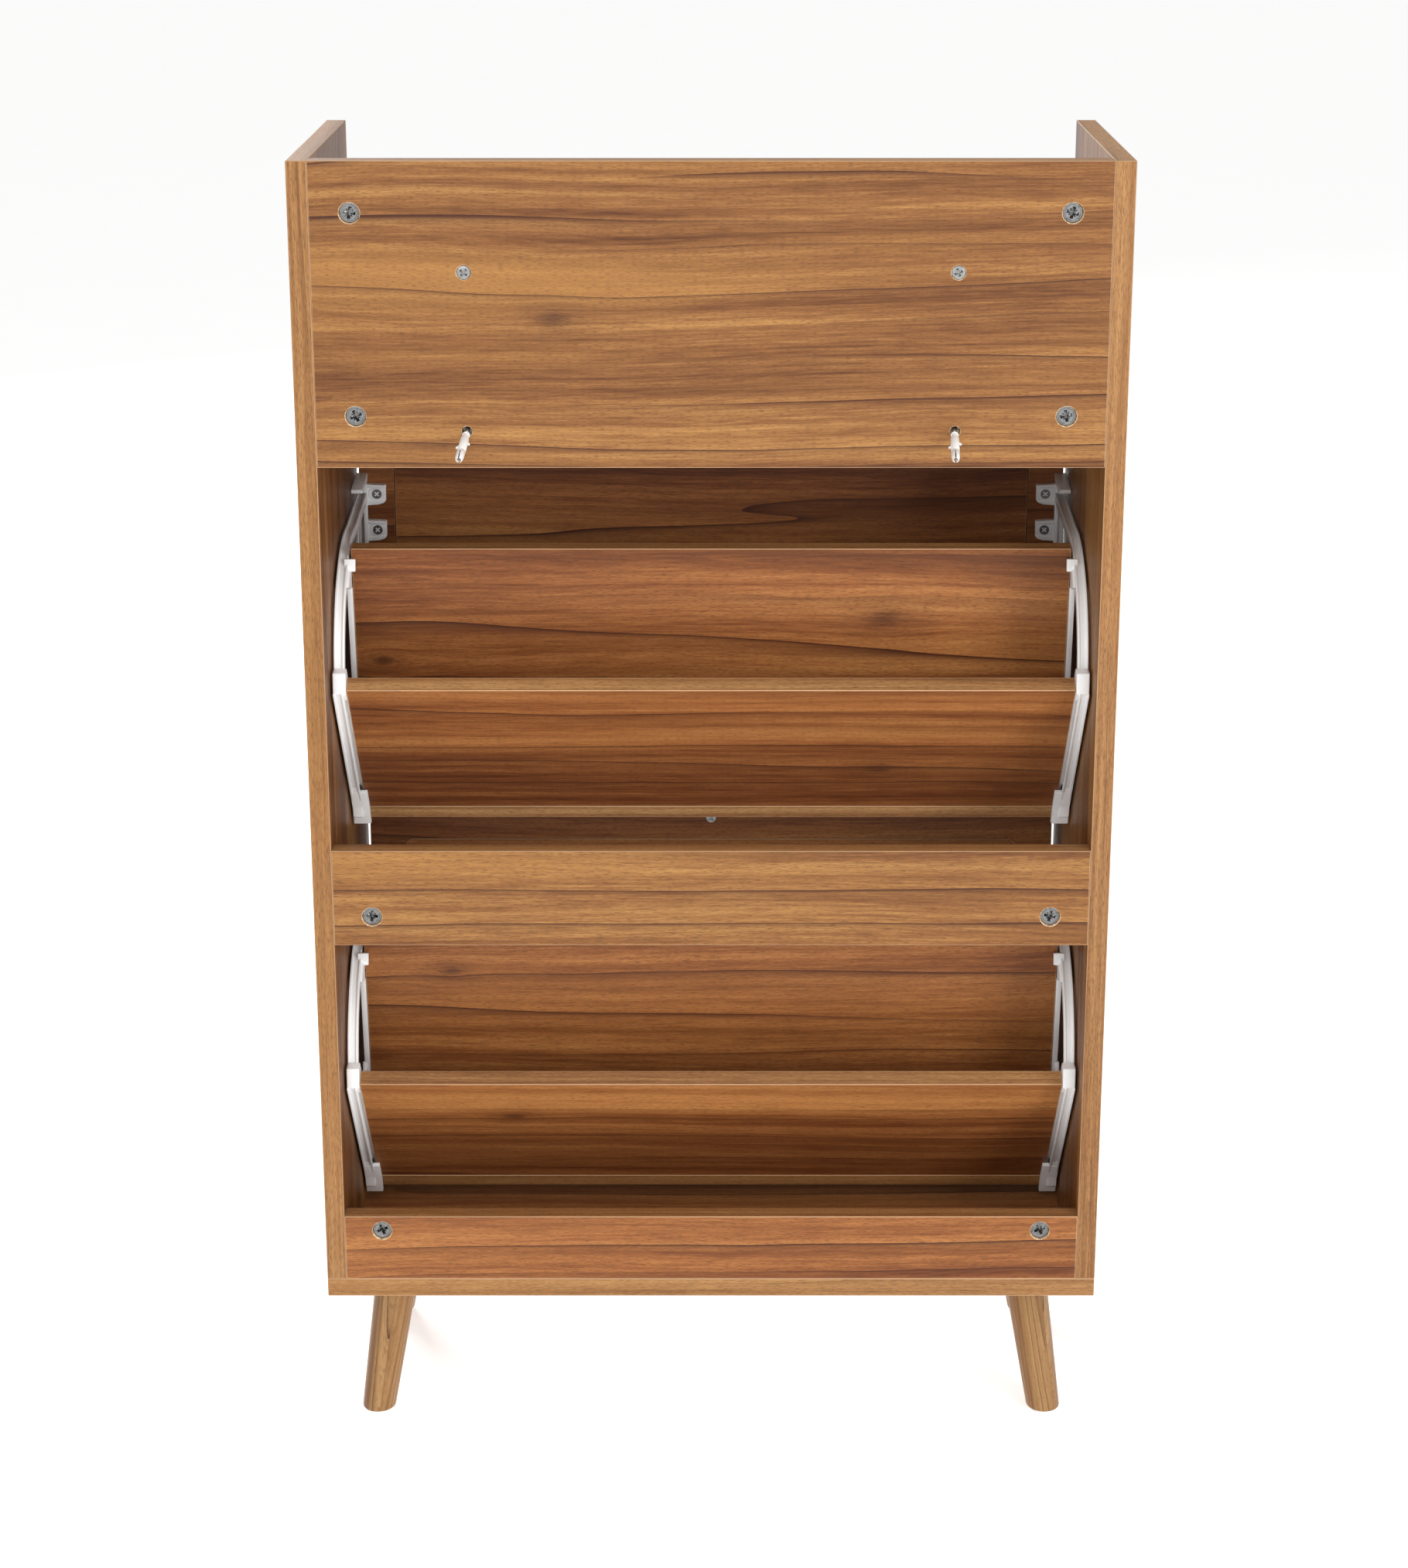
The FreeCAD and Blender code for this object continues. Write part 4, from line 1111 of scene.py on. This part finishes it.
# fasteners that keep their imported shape
kept = {"cam_bolts": screwSteel, "wood_dowels": rawBeech, "base_screws": screwSteel, "leg_plates": plateSteel,
        "leg_bolts": screwSteel, "leg_plate_screws": screwSteel}
for storey in bodyOf:
    for fastener in ("_knob_screw", "_frame_screws", "_pivot_pins"):
        kept[storey + fastener] = screwSteel
for node, material in kept.items():
    mesh = nodes[node].data
    mesh.materials.clear()
    mesh.materials.append(material)
print("kept nodes painted:", len(kept))


# Floor, lights and camera
studio = {
    "floor": (0.90, 0.90, 0.895), "floorDull": (0.87, 0.87, 0.865), "floorGlow": 0.42, "floorRadius": 30.0,
    "world": 0.60,
    # where each light stands, what it points at, its size and its power
    "lights": {
        "keyLight": ((-2.3, 3.0, 1.30), (0, 0, 0.5), (1.2, 1.4), 60.0),
        "fillLight": ((0.6, 3.0, 1.75), (0, 0, 0.4), (1.5, 1.5), 22.0),
        "topLight": ((-0.3, 1.6, 2.9), (0, 0, 0.6), (2.2, 2.2), 22.0),
        "frontLight": ((1.8, -3.0, 1.9), (0, 0, 0.5), (1.8, 1.8), 115.0),
    },
}
g = Graph("paleFloor")
place = g.add("ShaderNodeTexCoord", output="Object")
mottle = g.noise(place, 3.0, 0.5, 6.0)
floorWhite = g.finish({"Base Color": g.blend(mottle, studio["floor"], studio["floorDull"]),
                       "Emission Color": (1, 1, 1, 1), "Emission Strength": studio["floorGlow"],
                       "Roughness": 0.75 + mottle * 0.1,
                       "Normal": g.bump(g.noise(place, 2.0, 0.5, 400.0), 0.05, 0.0005)})
bm = bmesh.new()
bmesh.ops.create_circle(bm, cap_ends=True, radius=studio["floorRadius"], segments=96)
floor = toObject("studioFloor", bm, [floorWhite])
floor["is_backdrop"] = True

world = bpy.data.worlds.new("studioWorld")
bpy.context.scene.world = world
world.use_nodes = True
backdrop = world.node_tree.nodes["Background"]
backdrop.inputs["Color"].default_value = (1, 1, 1, 1)
backdrop.inputs["Strength"].default_value = studio["world"]


def areaLight(name, spot, target, wide, power):
    data = bpy.data.lights.new(name, "AREA")
    data.shape, data.size, data.size_y = "RECTANGLE", wide[0], wide[1]
    data.energy = power
    obj = bpy.data.objects.new(name, data)
    obj.location = spot
    obj.rotation_euler = (Vector(target) - Vector(spot)).to_track_quat("-Z", "Y").to_euler()
    bpy.context.scene.collection.objects.link(obj)


for name, light in studio["lights"].items():
    areaLight(name, *light)

# behind the rear plane and above the floor in metres; tilt down in degrees
view = {"distance": 2.128, "height": 1.291, "tilt": 15.82, "lens": 77.2, "shift": (-0.005, -0.13)}
cameraData = bpy.data.cameras.new("camera")
cameraData.sensor_fit, cameraData.sensor_width, cameraData.lens = "HORIZONTAL", 36.0, view["lens"]
cameraData.shift_x, cameraData.shift_y = view["shift"]
camera = bpy.data.objects.new("camera", cameraData)
camera.location = (0, rearPlane + view["distance"], view["height"])
camera.rotation_euler = (math.radians(90 - view["tilt"]), 0, math.radians(180))
bpy.context.scene.collection.objects.link(camera)
bpy.context.scene.camera = camera
bpy.context.scene.view_settings.view_transform = "Standard"
print("studio made")

low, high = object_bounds()
